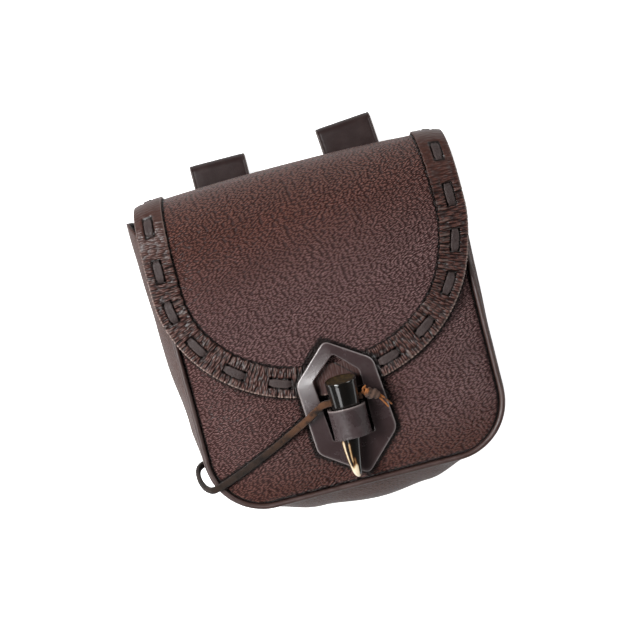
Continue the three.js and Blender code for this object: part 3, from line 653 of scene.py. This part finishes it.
def line_distance(x, y, points):
    """How far a place lies from a line through a few points."""
    nearest = []
    for (ax, ay), (bx, by) in zip(points, points[1:]):
        t = np.clip(((x - ax) * (bx - ax) + (y - ay) * (by - ay)) / ((bx - ax) ** 2 + (by - ay) ** 2), 0, 1)
        nearest.append(np.hypot(x - mix(ax, bx, t), y - mix(ay, by, t)))
    return np.minimum.reduce(nearest)


# Body

def front_half(y):
    rise = np.clip(FRONT.bottom + FRONT.corner - y, 0.0, FRONT.corner)
    return FRONT.half - FRONT.corner + np.sqrt(FRONT.corner ** 2 - rise ** 2)


def front_z(x, y):
    def puff(inward):
        return 1 - (1 - np.clip(inward / FRONT.reach, 0, 1)) ** 3
    rise = FRONT.dome * puff(front_half(y) - np.abs(x)) * puff(y - FRONT.bottom)
    return FRONT.seam_z + rise - MOUTH_DIP.drop * smooth(y, MOUTH_DIP.start, FRONT.top)


def furrows(x, y, inward):
    """How far the panel sinks in soft furrows, clear of the seam, the plate and the thong."""
    sunk = sum(deep * bell(line_distance(x, y, line), wide) for line, wide, deep in FURROWS)
    beside = smooth(outside_of(PLATE_CORNERS, x, y), 1, 9) * smooth(thong_distance(x, y), 4, 12)
    return sunk * beside * smooth(inward, 3, 14)


def front_panel():
    u, v = grid(cols=150, rows=130)
    y = mix(FRONT.bottom + FRONT.inset, FRONT.top, v ** 1.6)
    x = np.sin((u - 0.5) * np.pi) * (front_half(y) - FRONT.inset)
    y = np.broadcast_to(y, x.shape)
    inward = np.minimum(front_half(y) - np.abs(x), y - FRONT.bottom)
    swell = 0.35 * waves(x, y, length=46, seed=11) * smooth(inward, 4, 22)
    seam = -0.9 * bell(inward, 1.6)
    pucker = 0.22 * waves(x * 1.3, y * 1.3, length=9, seed=12) * bell(inward - 5, 5)
    middle = front_z(x, y) - furrows(x, y, inward)
    top = stack(x, y, middle + swell + seam + pucker)
    bottom = stack(x, y, middle - THICK.body)
    # Painted shade: under the flap's edge, along both sides of the thong, in the seam's groove and around the
    # closure plate
    under_flap = np.exp(-past(-edge_distance(x + lean(y), y, OUTER_EDGE)) / 2.6)
    beside_thong = 0.9 * bell(past(thong_distance(x, y), 1.6), 1.9)
    groove = bell(inward, 1.7)
    shade = strongest(under_flap, beside_thong, groove, closure_shade(x, y))
    # Painted sheen: a paler tone away from the bottom, weakest in the middle and strongest on the right
    to_sides = mix(0.3, mix(0.7, 1.0, smooth(x, -10, 10)), smooth(np.abs(x), 5, 45))
    piece("front_leather", wall(top, bottom), front_leather, ["front_panel"],
          marks={"shade": shade, "paler_mix": smooth(y, -84, -50) * to_sides, **lay(x, y)})


SIDE = GUSSET.mouth_middle - FRONT.bottom - FRONT.corner
ARC = math.pi / 2 * FRONT.corner
FLOOR = 2 * (FRONT.half - FRONT.corner)
U_LENGTH = 2 * SIDE + 2 * ARC + FLOOR


def on_u(distance):
    """Place and outward direction along the body's U, from its left mouth round to its right."""
    flip = distance > U_LENGTH / 2
    d = np.where(flip, U_LENGTH - distance, distance)
    angle = np.clip((d - SIDE) / FRONT.corner, 0, math.pi / 2)
    nx, ny = -np.cos(angle), -np.sin(angle)
    x = -(FRONT.half - FRONT.corner) + FRONT.corner * nx + past(d - SIDE - ARC)
    y = FRONT.bottom + FRONT.corner + FRONT.corner * ny + past(SIDE - d)
    sign = np.where(flip, -1.0, 1.0)
    return x * sign, y, nx * sign, ny


def back_z(y):
    return BACK_LIFT * smooth(y, BACK.lift_from, BACK.lift_to)


def eased_table(along, places, values):
    places, values = np.array(places), np.array(values)
    row = np.clip(np.searchsorted(places, along) - 1, 0, len(places) - 2)
    t = (along - places[row]) / (places[row + 1] - places[row])
    return mix(values[row], values[row + 1], smooth(t, 0, 1))


def gusset_middle(along, t):
    """The gusset's middle surface: along the U in 0..1 and from the front seam to the back in 0..1."""
    start = np.where(t < 0.5, GUSSET.mouth_front, GUSSET.mouth_back)
    down = GUSSET.mouth_middle - mix(start, GUSSET.mouth_middle, np.sin(np.pi * t))
    x, y, nx, ny = on_u(mix(down, U_LENGTH - down, along))
    back_edge = back_z(y) + THICK.body + GUSSET.above_back
    out = GUSSET.out + eased_table(along, BULGE_ALONG, BULGE_OUT) * np.sin(np.pi * t)
    return stack(x + nx * out, y + ny * out, mix(GUSSET.front_z, back_edge, t)), nx, ny


def gusset():
    along, t = grid(cols=300, rows=34)
    middle, nx, ny = gusset_middle(along, t)
    normal = surface_normals(middle)
    outward = np.sum(normal[..., :2] * np.stack(np.broadcast_arrays(nx, ny), -1), -1, keepdims=True)
    normal = normal * np.where(outward < 0, -1, 1)
    fold = 0.2 * waves(along * U_LENGTH, t * 70, length=30, seed=21) * np.sin(np.pi * t)
    outer = middle + normal * (THICK.body / 2 + fold)[..., None]
    inner = middle - normal * (THICK.body / 2)
    piece("gusset_leather", wall(outer, inner), gusset_leather, ["gusset"],
          marks=lay(along * U_LENGTH, t * GUSSET.wide))


def piping():
    start = GUSSET.mouth_middle - FRONT.top
    distance = np.linspace(start, U_LENGTH - start, 420)
    x, y, nx, ny = (value[:, None] for value in on_u(distance))
    angles = around(16)
    radius = PIPING.radius * (1 + 0.035 * waves(distance, 0.0, length=7, seed=31))[:, None]
    out = PIPING.out + radius * np.cos(angles)
    rings = stack(x + nx * out, y + ny * out, PIPING.z + radius * np.sin(angles))
    piece("piping_leather", loft(rings), piping_leather, ["front_piping"])


def back_panel():
    scale = (FRONT.half + BACK.out) / FRONT.half
    u, v = grid(cols=60, rows=90)
    y = mix(FRONT.bottom - BACK.out, BACK.top, v ** 1.25)
    x = np.sin((u - 0.5) * np.pi) * front_half(y / scale) * scale
    y = np.broadcast_to(y, x.shape)
    top, bottom = stack(x, y, back_z(y) + THICK.body), stack(x, y, back_z(y))
    piece("back_leather", wall(top, bottom), gusset_leather, ["back_panel"],
          marks=lay(x, y), bevel=0.5)


# Flap, border and lace

def drawn_in(half, v):
    """The flap's half width, a little less towards its hem."""
    return half - NARROWS.by * smooth(v, NARROWS.start, FOLD.end)


def lean(v):
    """How far the flap's end lies to the left."""
    return LEANS.by * (1 - smooth(v, LEANS.full, LEANS.start))


def flap_middle(x, v):
    """The flap's middle surface: v is the height on the front and runs on over the fold to the hem."""
    x, v = np.broadcast_arrays(np.asarray(x, float), np.asarray(v, float))
    crown = FLAP.edge_z + FLAP.crown * (1 - np.abs(x / FLAP.crown_half) ** FLAP.crown_power)
    angle = np.pi * np.clip(v - FLAP.fold_y, 0, FLAP.fold_length) / FLAP.fold_length
    corner = power((np.abs(x) - FOLD.corner_from) / FOLD.corner_span, 2)
    reach = FOLD.reach - FOLD.arch * (x / OUTER_EDGE[0]) ** 2 - FOLD.corner_drop * corner
    half = (crown - HEM_Z) / 2
    y = np.where(v <= FLAP.fold_y, v, FLAP.fold_y + reach * np.sin(angle) - past(v, FOLD.end))
    return stack(x - lean(v), y, HEM_Z + half + half * np.cos(angle))


def on_flap(x, v, height):
    step = 0.05
    across = flap_middle(x + step, v) - flap_middle(x - step, v)
    along = flap_middle(x, v + step) - flap_middle(x, v - step)
    return flap_middle(x, v) + unit(np.cross(across, along)) * np.asarray(height)[..., None]


def tucked_v(x):
    half, deep, exponent = TUCKED_EDGE
    return END_CENTRE - deep * power(1 - power(np.abs(x) / half, exponent), 1 / exponent)


def flap():
    half = TUCKED_EDGE[0]
    u, t = grid(cols=150, rows=150)
    flat = half * np.sin((u - 0.5) * np.pi)
    v = mix(tucked_v(flat), FOLD.end + FLAP.hem, t ** 0.85)
    x = flat * drawn_in(half, v) / half
    swell = 0.25 + 0.25 * waves(x, v, length=60, seed=41)
    swell = swell * smooth(half - np.abs(flat), 4, 20) * smooth(v - tucked_v(flat), 4, 20)
    top = on_flap(x, v, THICK.flap / 2 + swell * (v < FLAP.fold_y + 30))
    bottom = on_flap(x, v, -THICK.flap / 2)
    window = in_window(x, v)
    # Painted shade along the border's inner edge, around the closure plate, and as dark lines along the leather
    # edges seen in the window
    edge = bell(past(edge_distance(x, v, INNER_EDGE)), 1.3)
    lines = bell(line_distance(x, v, WINDOW_CUT), CUT_WIDE) * window
    shade = strongest(edge * (1 - window), closure_shade(x, v) * (1 - window), lines)
    # Painted sheen: a paler tone lower down and a little more to the right
    paler_mix = 1 - smooth(v - 0.12 * x, 12, 80)
    piece("flap_leather", wall(top, bottom), flap_leather, ["flap"],
          marks={"shade": shade, "paler_mix": paler_mix, **lay(x, v)})


def border_edge(angle, edge):
    """One edge of the border by its angle round the flap's end, straight beyond it."""
    half, deep, exponent = edge
    above = np.maximum(-angle, angle - np.pi)
    v_side = END_CENTRE + past(above) * BORDER.straight_radius
    x_side = np.where(angle < 0, -1.0, 1.0) * drawn_in(half, v_side)
    inside = np.clip(angle, 0, np.pi)
    x_end = -np.sign(np.cos(inside)) * half * power(np.abs(np.cos(inside)), 2 / exponent)
    v_end = END_CENTRE - deep * power(np.sin(inside), 2 / exponent)
    return np.where(above > 0, x_side, x_end), np.where(above > 0, v_side, v_end)


def on_border(angle, place, height):
    inner_x, inner_v = border_edge(angle, INNER_EDGE)
    outer_x, outer_v = border_edge(angle, OUTER_EDGE)
    return on_flap(mix(inner_x, outer_x, place), mix(inner_v, outer_v, place), height)


# The lace's line, as a run in millimetres from the middle of the flap's end
LINE_STEPS = 4000
border_start = -(BORDER.end_v - END_CENTRE) / BORDER.straight_radius
LINE_ANGLE = np.linspace(border_start, np.pi - border_start, LINE_STEPS + 1)
LINE_RUN = np.append(0, np.cumsum(step_lengths(on_border(LINE_ANGLE, LACE.place, 0.0))))
LINE_RUN -= LINE_RUN[LINE_STEPS // 2]

# Half of each stitch's length on top: short up the sides, longer round the end
STITCH_HALVES = mix(4.3, 6.1, smooth(165 - np.abs(STITCHES), 0, 25))


def angle_at(run):
    return np.interp(run, LINE_RUN, LINE_ANGLE)


def gathering(run):
    """How tightly the border is gathered: hardly at the fold, most round the end."""
    return smooth(175 - np.abs(run), 0, 70)


def past_stitch(run):
    """How far a place on the border is past the end of the nearest stitch."""
    return np.min(np.abs(run - STITCHES) - STITCH_HALVES, axis=1, keepdims=True)


def beside_lace(place):
    return np.abs(place - LACE.place) * BORDER.wide


def border_relief(run, place):
    """Crinkles, tucks and the grooves that the lace pulls, as a height over the border's own top."""
    rng = np.random.default_rng(51)
    tight = gathering(run)
    drift = 0.9 * waves(run, place * BORDER.wide, length=11, seed=52)
    relief = np.zeros(place.shape)
    for length, high, seed in CRINKLES:
        strength = 0.6 + 0.6 * waves(run, place * 12, length=8, seed=seed)
        relief += high * tight * strength * np.sin(2 * np.pi * (run + drift) / length + seed)
    for stitch in STITCHES[np.abs(STITCHES) <= TUCKED_WITHIN]:
        for offset in TUCK_OFFSETS:
            spot = stitch + offset + rng.uniform(-0.9, 0.9)
            wide, deep = rng.uniform(0.28, 0.5), rng.uniform(0.5, 1.1)
            outside = rng.uniform() < 0.25
            reach = smooth(place, 0.66, 0.74) if outside else 1 - smooth(place, 0.26, 0.36)
            line = spot + rng.uniform(-1.2, 1.2) * (place - 0.3)
            relief -= deep * bell(run - line, wide) * reach * tight
            relief += 0.3 * bell(run - line - 1.7, 1.0) * reach * tight
    sunk = (1 - smooth(past_stitch(run), -0.3, 1.5)) * (1 - smooth(beside_lace(place), 2.2, 3.2))
    return mix(relief, -0.8, sunk)


def border_runs():
    """Rows of points along the border, with one at each end of each slit."""
    stops = [LINE_RUN[0], LINE_RUN[-1]]
    for stitch, half in zip(STITCHES, STITCH_HALVES):
        stops += [stitch - half, stitch - half + SLIT.long, stitch + half - SLIT.long, stitch + half]
    stops = sorted(stops)
    runs = [stops[0]]
    for a, b in zip(stops, stops[1:]):
        steps = max(2, round((b - a) / BORDER.step))
        runs += list(a + (b - a) * np.arange(1, steps + 1) / steps)
    return np.array(runs)[:, None]


def open_slits(run):
    """The border's cells that are left open where the lace goes through."""
    middles = (run[1:] + run[:-1]) / 2
    ahead = STITCH_HALVES - np.abs(middles - STITCHES)
    in_slit = np.any((ahead > 0) & (ahead < SLIT.long) & (np.abs(STITCHES) < SLIT.open_within), axis=1)
    return in_slit[:, None] & (BORDER_PLACES[:-1] >= SLIT.inner) & (BORDER_PLACES[1:] <= SLIT.outer)


def border():
    run = border_runs()
    tight = gathering(run)
    place = BORDER_PLACES + 0.06 * tight * waves(run, 0.0, length=5.5, seed=56) * (1 - BORDER_PLACES) ** 8
    angle = angle_at(run)
    flat_x, flat_y, _ = np.moveaxis(on_border(angle, place, 0.0), -1, 0)
    window = in_window(flat_x, flat_y)
    relief = border_relief(run, place) * (1 - window)
    rim = 0.55 * smooth(place, 0.95, 1.0) ** 2
    lip = 0.25 * (1 - smooth(place, 0.0, 0.03)) ** 2
    bead = np.sin(2 * np.pi * run / BEAD_LENGTH + 1.2 * waves(run, 0.0, length=17, seed=57))
    beaded = smooth(place, 0.93, 0.98) * tight
    top = on_border(angle, place, BORDER.low + THICK.border + relief - rim - lip + 0.16 * bead * beaded)
    bottom = on_border(angle, place, BORDER.low + 0.35 * smooth(place, 0.96, 1.0))
    # Paler: the outer edge from wear with painted highlight on its beads, the inner lip at the upper left from
    # wear, and painted highlight on the crinkles' crests
    outer = beaded * mix(0.35, 0.9, smooth(bead, 0.0, 0.9))
    upper_left = 0.3 * smooth(-run, 120, 150) * (1 - smooth(place, 0.0, 0.05))
    wear_and_highlight = np.clip(outer + upper_left + 0.2 * smooth(relief, 0.12, 0.5), 0, 1)
    # Painted shade: around each stitch where the lace sinks, in the tucks' hollows, around the closure plate,
    # and as dark lines along the leather edges seen in the window
    ahead, aside = past(past_stitch(run)), past(beside_lace(place), 2.3)
    by_lace = 0.9 * np.exp(-(ahead ** 2 + aside ** 2) / 0.4)
    tucks = 0.9 * smooth(-relief, 0.12, 0.5)
    by_plate = closure_shade(top[..., 0], top[..., 1]) * (1 - window)
    lines = bell(line_distance(flat_x, flat_y, WINDOW_CUT), CUT_WIDE) * window
    marks = {"wear_and_highlight": wear_and_highlight, "shade": strongest(by_lace, tucks, by_plate, lines),
             "gathered": (1 - window) * tight, "paler_mix": np.maximum(0.6 * tight, window),
             **lay(run, place * BORDER.wide)}
    piece("border_leather", wall(top, bottom, holes=open_slits(run)), border_leather,
          ["flap_border"], marks=marks)


# The lace's section: across and up, in halves of its width and thickness
LACE_PROFILE = np.array([
    (-1, -0.6), (-0.9, -1), (0, -1), (0.9, -1), (1, -0.6), (1, 0.5), (0.93, 0.85), (0.7, 1.0),
    (0.35, 0.95), (0, 0.9), (-0.35, 0.95), (-0.7, 1.0), (-0.93, 0.85), (-1, 0.5),
])


def lace():
    over = BORDER.low + THICK.border - LACE.sink
    under = BORDER.low - THICK.lace / 2 - GAP - LACE.sink
    path = [(STITCHES[0] - LACE.lead, under)]
    for stitch, half in zip(STITCHES, STITCH_HALVES):
        rise = [(half + LACE.dive, under), (half - LACE.dive, over - LACE.dip), (half - LACE.level, over)]
        path += [(stitch - ahead, height) for ahead, height in rise] + [(stitch, over + LACE.crown)]
        path += [(stitch + ahead, height) for ahead, height in rise[::-1]] + [(stitch + half + 3, under)]
    run, height = [], []
    for (run_a, height_a), (run_b, height_b) in zip(path, path[1:]):
        steps = max(2, round((run_b - run_a) / LACE.step))
        t = np.arange(steps) / steps
        run += list(mix(run_a, run_b, t))
        height += list(mix(height_a, height_b, smooth(t, 0, 1)))
    run, height = np.array(run), np.array(height)
    angle = angle_at(run)
    line = on_border(angle, LACE.place, height)
    side = unit(on_border(angle, 1.0, height) - on_border(angle, 0.0, height))
    up = unit(np.cross(unit(np.gradient(line, axis=0)), side))
    outward = on_border(angle, LACE.place, height + 1) - line
    up = up * np.where(np.sum(up * outward, -1, keepdims=True) < 0, -1, 1)
    wander = 0.18 * waves(run, 0.0, length=11, seed=61)[:, None]
    to_end = np.min(np.abs(np.abs(run[:, None] - STITCHES) - STITCH_HALVES + 0.6), axis=1)
    squeezed = 1 - 0.3 * bell(to_end, 1.1)
    half = LACE.width / 2 * (squeezed * (1 + 0.04 * waves(run, 0.0, length=6, seed=62)))[:, None]
    across, above = LACE_PROFILE.T
    rings = swept(line, side, up, across * half + wander, above * THICK.lace / 2)
    wear_and_highlight = 0.3 * ((np.abs(across) > 0.6) & (above > 0.6))
    piece("lace_leather", loft(rings), lace_leather, ["border_lace"], marks={"wear_and_highlight": wear_and_highlight})


# Closure

def rounded_polygon(corners, radius, corner_steps=6, edge_steps=14):
    corners = np.array(corners, float)
    line = []
    for corner, earlier, later in zip(corners, np.roll(corners, 1, 0), np.roll(corners, -1, 0)):
        after = unit(later - corner)
        start, end = corner + unit(earlier - corner) * radius, corner + after * radius
        line += [bow(start, corner, end, t) for t in np.linspace(0, 1, corner_steps)]
        follow = corner + after * (np.linalg.norm(later - corner) - radius)
        line += [mix(end, follow, t) for t in np.arange(1, edge_steps) / edge_steps]
    return np.array(line)


def plate_z(y):
    return PLATE_BEND.z - PLATE_BEND.drop * power((PLATE_BEND.start - y) / PLATE_BEND.per, PLATE_BEND.power)


def closure_plate():
    outside = rounded_polygon(PLATE_CORNERS, PLATE.corner)
    inside = rounded_polygon(WINDOW_CORNERS, WINDOW_ROUND)
    wide = np.linalg.norm(outside - inside, axis=1)[None, :]
    from_in = np.array([0, 0.12, 0.35, 0.7, 1.0])[:, None] * PLATE.rim / wide
    between = mix(from_in[-1:], 1 - from_in[-1:], np.linspace(0.08, 0.92, 12)[:, None])
    spread = np.concatenate([from_in, between, 1 - from_in[::-1]])
    flat = inside[None] + (outside - inside)[None] * spread[..., None]
    dx, dy = turned(flat[..., 0], flat[..., 1], PLATE.turn)
    x, y = PLATE.x + dx, PLATE.y + dy
    edge = np.minimum(spread, 1 - spread) * wide
    drop = 0.45 * (1 - np.sqrt(np.clip(1 - (1 - np.clip(edge / PLATE.rim, 0, 1)) ** 2, 0, 1)))
    tilted = bell(flat[..., 1] - 17, 12)
    fall = mix(0.6, 2.3, tilted) * spread
    top = stack(x, y, plate_z(y) + THICK.plate - drop - fall)
    bottom = stack(x, y, plate_z(y) + np.where(edge < 0.05, 0.3, 0.0))
    near_rim = bell(edge - 0.35, 0.3)
    outer_rim = near_rim * smooth(spread, 0.5, 0.6)
    inner_rim = near_rim * (1 - smooth(spread, 0.4, 0.5)) * 0.35
    piece("plate_leather", wall(top, bottom, closed=True), plate_leather, ["closure_plate"],
          marks={"wear_and_highlight": two_sided(0.75, 0.0) * (outer_rim + inner_rim)})


def horn_axis(along):
    sway = HORN_SWAY * np.sin(2 * np.pi * along)
    return mix(HORN_TOP, HORN_TIP, along[:, None]) + stack(sway, 0, 0)


def horn():
    along = np.concatenate(
        [np.zeros(6), np.linspace(0, 0.02, 5)[1:], np.linspace(0.03, 0.94, 70), np.linspace(0.95, 1, 12)])
    sawn, shaft, tip = slice(0, 6), slice(10, 80), slice(80, 92)
    radius = np.interp(along, HORN_ALONG, HORN_RADIUS)
    radius[shaft] = np.convolve(np.pad(radius[shaft], 6, mode="edge"), np.ones(13) / 13, mode="valid")
    radius[tip] = radius[79] * np.sqrt(np.clip((1.0 - along[tip]) / 0.06, 0.0004, 1))
    radius[sawn] = CUT_RADIUS
    sink = np.zeros_like(along)
    sink[sawn] = CUT_HOLLOW
    angles = around(72)
    run = unit(HORN_TIP - HORN_TOP)
    sideways = np.array([1.0, 0, 0])
    up = unit(np.cross(sideways, run))
    up = up if up[2] > 0 else -up
    across, above = np.cos(angles), np.sin(angles)
    at, wide = along[:, None], radius[:, None]
    rings = swept(horn_axis(along) + run * sink[:, None], sideways, up, wide * across, wide * above)

    def streak(place, wide, first, last):
        """A pale growth line at a place across the horn, between two heights along it."""
        return bell(across - place, wide) * smooth(at, first, first + 0.06) * (1 - smooth(at, last, last + 0.1))

    lines = strongest(streak(-0.8, 0.13, 0.56, 2.0), 0.8 * streak(-0.3, 0.12, 0.58, 0.8),
                               0.5 * streak(0.05, 0.25, 0.74, 2.0))
    pale_tip = smooth(at + 0.02 * across, 0.83, 0.9) * (1 - smooth(across, 0.25, 0.5)) + smooth(at, 0.95, 0.99)
    pale = np.clip(lines + pale_tip, 0, 1) * smooth(above, -0.3, 0.1)
    cut = np.zeros(rings.shape[:2])
    cut[sawn] = np.array(CUT_LOOK)[:, None]
    piece("horn", loft(rings), horn_finish, ["horn_toggle"], marks={"pale": pale, "cut_end": cut})


def keeper():
    rows, arc_steps, leg_steps = 28, 40, 10
    y = np.linspace(KEEPER.high, KEEPER.low, rows)[:, None]
    centre = KEEPER.crown_z - KEEPER.half + KEEPER.slope * (y - KEEPER.high)
    angles = np.linspace(0, np.pi, arc_steps)
    legs = np.linspace(0, 1, leg_steps, endpoint=False)
    across = np.concatenate([np.ones(leg_steps), np.cos(angles), -np.ones(leg_steps)])

    def arch(radius):
        left, right = (mix(front_z(KEEPER.x + s * radius, y) + GAP, centre, legs) for s in (-1, 1))
        crown = centre + radius * np.sin(angles)
        return stack(KEEPER.x + radius * across, y, np.concatenate([right, crown, left[:, ::-1]], axis=1))

    outer, lining = arch(KEEPER.half), arch(KEEPER.half - THICK.keeper)
    shape = np.linspace(0, 1, rows)[:, None]
    grooves = 0.16 * (bell(shape - 0.09, 0.02) + bell(shape - 0.91, 0.02))
    waist = 0.25 * np.sin(np.pi * shape)
    outer = outer - unit(outer - lining) * (grooves + waist)[..., None]
    piece("keeper_leather", wall(outer, lining), keeper_leather, ["keeper_loop"],
          marks={"wear_and_highlight": two_sided(1.0, 0.6) * bell(shape, 0.03)}, bevel=0.35)


def thong_knot():
    """A wrapped knot with a frayed tuft and two tails."""
    axis = unit(KNOT_TO - KNOT_FROM)
    long = np.linalg.norm(KNOT_TO - KNOT_FROM)
    side = unit(np.cross(axis, [0, 0, 1]))
    up = np.cross(side, axis)
    t = np.linspace(0, 1, 40)[:, None]
    angles = around(20)
    wrapped = np.interp(t, KNOT_ALONG, KNOT_RADIUS) * (1 + 0.13 * np.cos(2 * np.pi * KNOT_WRAPS * t - angles))
    middle = KNOT_FROM + axis * (t * long)
    parts = [loft(swept(middle, side, up, wrapped * np.cos(angles), wrapped * np.sin(angles)))]
    rng = np.random.default_rng(72)

    def jump(*ranges):
        return np.array([rng.uniform(low, high) for low, high in ranges])

    for _ in range(9):
        root = KNOT_FROM + jump((-1.6, 0.4), (-1.5, 1.5), (-0.5, 1.5))
        bend = root + jump((-0.5, 1.5), (0.5, 2.5), (0.6, 2.0))
        end = bend + jump((0.2, 2.2), (-0.5, 1.8), (-1.0, 0.6))
        tuft = smooth_line([root, bend, end], per_span=5)
        wide = rng.uniform(0.9, 1.7)
        parts.append(loft(cord_rings(tuft, wide, thick=0.7, sides=6, first_side=axis, rough=0.1, seed=73)))
    s = np.linspace(0, 1, 26)[:, None]
    for number, tail in enumerate(KNOT_TAILS):
        path = bow(*np.array(tail), s)
        full = cord_rings(path, wide=1.7, thick=1.2, sides=8, first_side=axis, rough=0.08, seed=74 + number)
        parts.append(loft(path[:, None] + (full - path[:, None]) * mix(1.0, 0.55, s)[..., None]))
    points, faces, along = [], [], []
    for number, (part_points, part_faces) in enumerate(parts):
        offset = sum(len(p) for p in points)
        points.append(part_points.reshape(-1, 3))
        faces += [tuple(i + offset for i in face) for face in part_faces]
        along.append(np.full(len(points[-1]), 0.95 if number == 0 else 0.1))
    return piece("thong_knot", (np.concatenate(points), faces), knot_suede, ["thong_knot"],
                 marks={"along": np.concatenate(along)})


def thong():
    line = smooth_line(THONG_ROUTE, per_span=10)
    rings = cord_rings(line, THONG.wide, THONG.thick, sides=14, first_side=(0, 1, 0.2), rough=0.04, seed=71)
    along = np.linspace(0, 1, len(line))[:, None]
    cord = piece("thong", loft(rings), thong_suede, ["thong"],
                 marks={"along": smooth(along, 0.22, 0.5)})
    knot = thong_knot()


def belt_loop(loop):
    end_steps, flat_steps = 20, 24
    middle_z = LOOP_STACK / 2
    a, b = loop.low + middle_z, loop.high - middle_z
    mid_y = (loop.low + loop.high) / 2

    def outline(inset):
        radius = middle_z - inset
        upper = np.linspace(-np.pi / 2, np.pi / 2, end_steps)
        lower = np.linspace(np.pi / 2, 3 * np.pi / 2, end_steps)
        over = np.linspace(b, a, flat_steps + 2)[1:-1]
        y = np.concatenate([b + radius * np.cos(upper), over, a + radius * np.cos(lower), over[::-1]])
        z = np.concatenate([middle_z + radius * np.sin(upper), np.full(flat_steps, middle_z + radius),
                            middle_z + radius * np.sin(lower), np.full(flat_steps, middle_z - radius)])
        return np.stack([y, z], -1)

    half_row = np.array([0.5, 0.84, 0.875, LOOP.crease, 0.915, 0.95, 0.985, 1])
    places = np.concatenate([-half_row[::-1], [0], half_row])
    x = LOOP.width / 2 * places
    crease = 0.22 * bell(np.abs(places) - LOOP.crease, 0.018)
    rounding = 0.5 * smooth(np.abs(places), 0.95, 1.0) ** 2
    outer, inner = outline(0), outline(THICK.loop)
    sunk = (crease + rounding)[:, None, None]
    on_floor = (outer[:, 1] < 0.02)[None, :, None]
    outer = outer[None] + unit(inner - outer)[None] * np.where(on_floor, 0.0, sunk)
    inner = np.broadcast_to(inner[None], outer.shape)

    def placed(yz):
        dx, dy = turned(np.broadcast_to(x[:, None], yz.shape[:2]), yz[..., 0] - mid_y, loop.turn)
        return stack(loop.x + dx, mid_y + dy, yz[..., 1])

    edges = bell(np.abs(places) - 0.985, 0.012)[:, None]
    piece(loop.name + "_strap", wall(placed(outer), placed(inner), closed=True), loop_leather,
          [loop.name], marks={"wear_and_highlight": two_sided(0.8, 0.0) * edges})


# Studio: pale floor, soft light, and a camera almost straight above

CAMERA = Sizes(distance=1300.0, field=346.0, tilt=5.0, roll=14.5, target=np.array([-3.4, 7.2, 53.0]))
FLOOR_REACH = 3.0
LIGHTS = [
    ("key softbox", (-1.15, 0.45, 1.42), 0.7, 46),
    ("overhead panel", (-0.75, -0.02, 1.42), 0.5, 5),
    ("front softbox", (-1.05, -0.72, 1.28), 0.8, 6),
    ("right softbox", (1.25, 0.4, 0.95), 0.8, 9),
]
LIT_POINT = Vector((0, 0, 0.03))


def camera():
    tilt, roll = math.radians(CAMERA.tilt), math.radians(CAMERA.roll)
    back = np.array([0.0, math.sin(tilt), math.cos(tilt)])
    up = np.array([math.sin(roll), math.cos(roll), 0.0])
    up = unit(up - back * np.dot(up, back))
    data = bpy.data.cameras.new("camera")
    data.sensor_width = 36.0
    data.lens = data.sensor_width * CAMERA.distance / CAMERA.field
    data.clip_start, data.clip_end = 0.05, 20.0
    made = add("camera", data)
    spot = (CAMERA.target + back * CAMERA.distance + SHIFT) * MM
    turn = np.column_stack([np.cross(up, back), up, back, spot])
    made.matrix_world = Matrix(np.vstack([turn, [0, 0, 0, 1]]).tolist())
    scene.camera = made


def soft_light(name, spot, size, watts):
    data = bpy.data.lights.new(name, "AREA")
    data.shape = "DISK"
    data.size = size
    data.energy = watts
    made = add(name, data)
    made.location = spot
    made.rotation_euler = (LIT_POINT - Vector(spot)).to_track_quat("-Z", "Y").to_euler()


def studio():
    mesh = bpy.data.meshes.new("floor")
    corners = [(x * FLOOR_REACH, y * FLOOR_REACH, 0) for x, y in ((-1, -1), (1, -1), (1, 1), (-1, 1))]
    mesh.from_pydata(corners, [], [(0, 1, 2, 3)])
    floor = add("floor", mesh)
    floor.location.z = -0.0002
    material, tree, shader, _ = finish_base("pale floor")
    fill(shader, {
        "Base Color": (0.92, 0.92, 0.92, 1),
        "Roughness": 0.9,
        "Specular IOR Level": 0.1,
        "Emission Strength": 0.85,
        "Emission Color": node(tree, "ShaderNodeLightPath").outputs["Is Camera Ray"],
    })
    mesh.materials.append(material)
    for light in LIGHTS:
        soft_light(*light)
    world = bpy.data.worlds.new("studio")
    world.use_nodes = True
    tree = world.node_tree
    ways = node(tree, "ShaderNodeSeparateXYZ", {0: node(tree, "ShaderNodeTexCoord").outputs["Generated"]})
    sky = blended(ranged(ways.outputs["Z"], 0.1, 0.8), (0.17, 0.17, 0.17), (0.04, 0.04, 0.04))
    fill(tree.nodes["Background"], {"Color": sky})
    scene.world = world
    scene.view_settings.view_transform = "Standard"


camera()
for make in (thong, front_panel, gusset, piping, back_panel, flap, border, lace, closure_plate, horn, keeper):
    make()
for strap in LOOPS:
    belt_loop(strap)
studio()
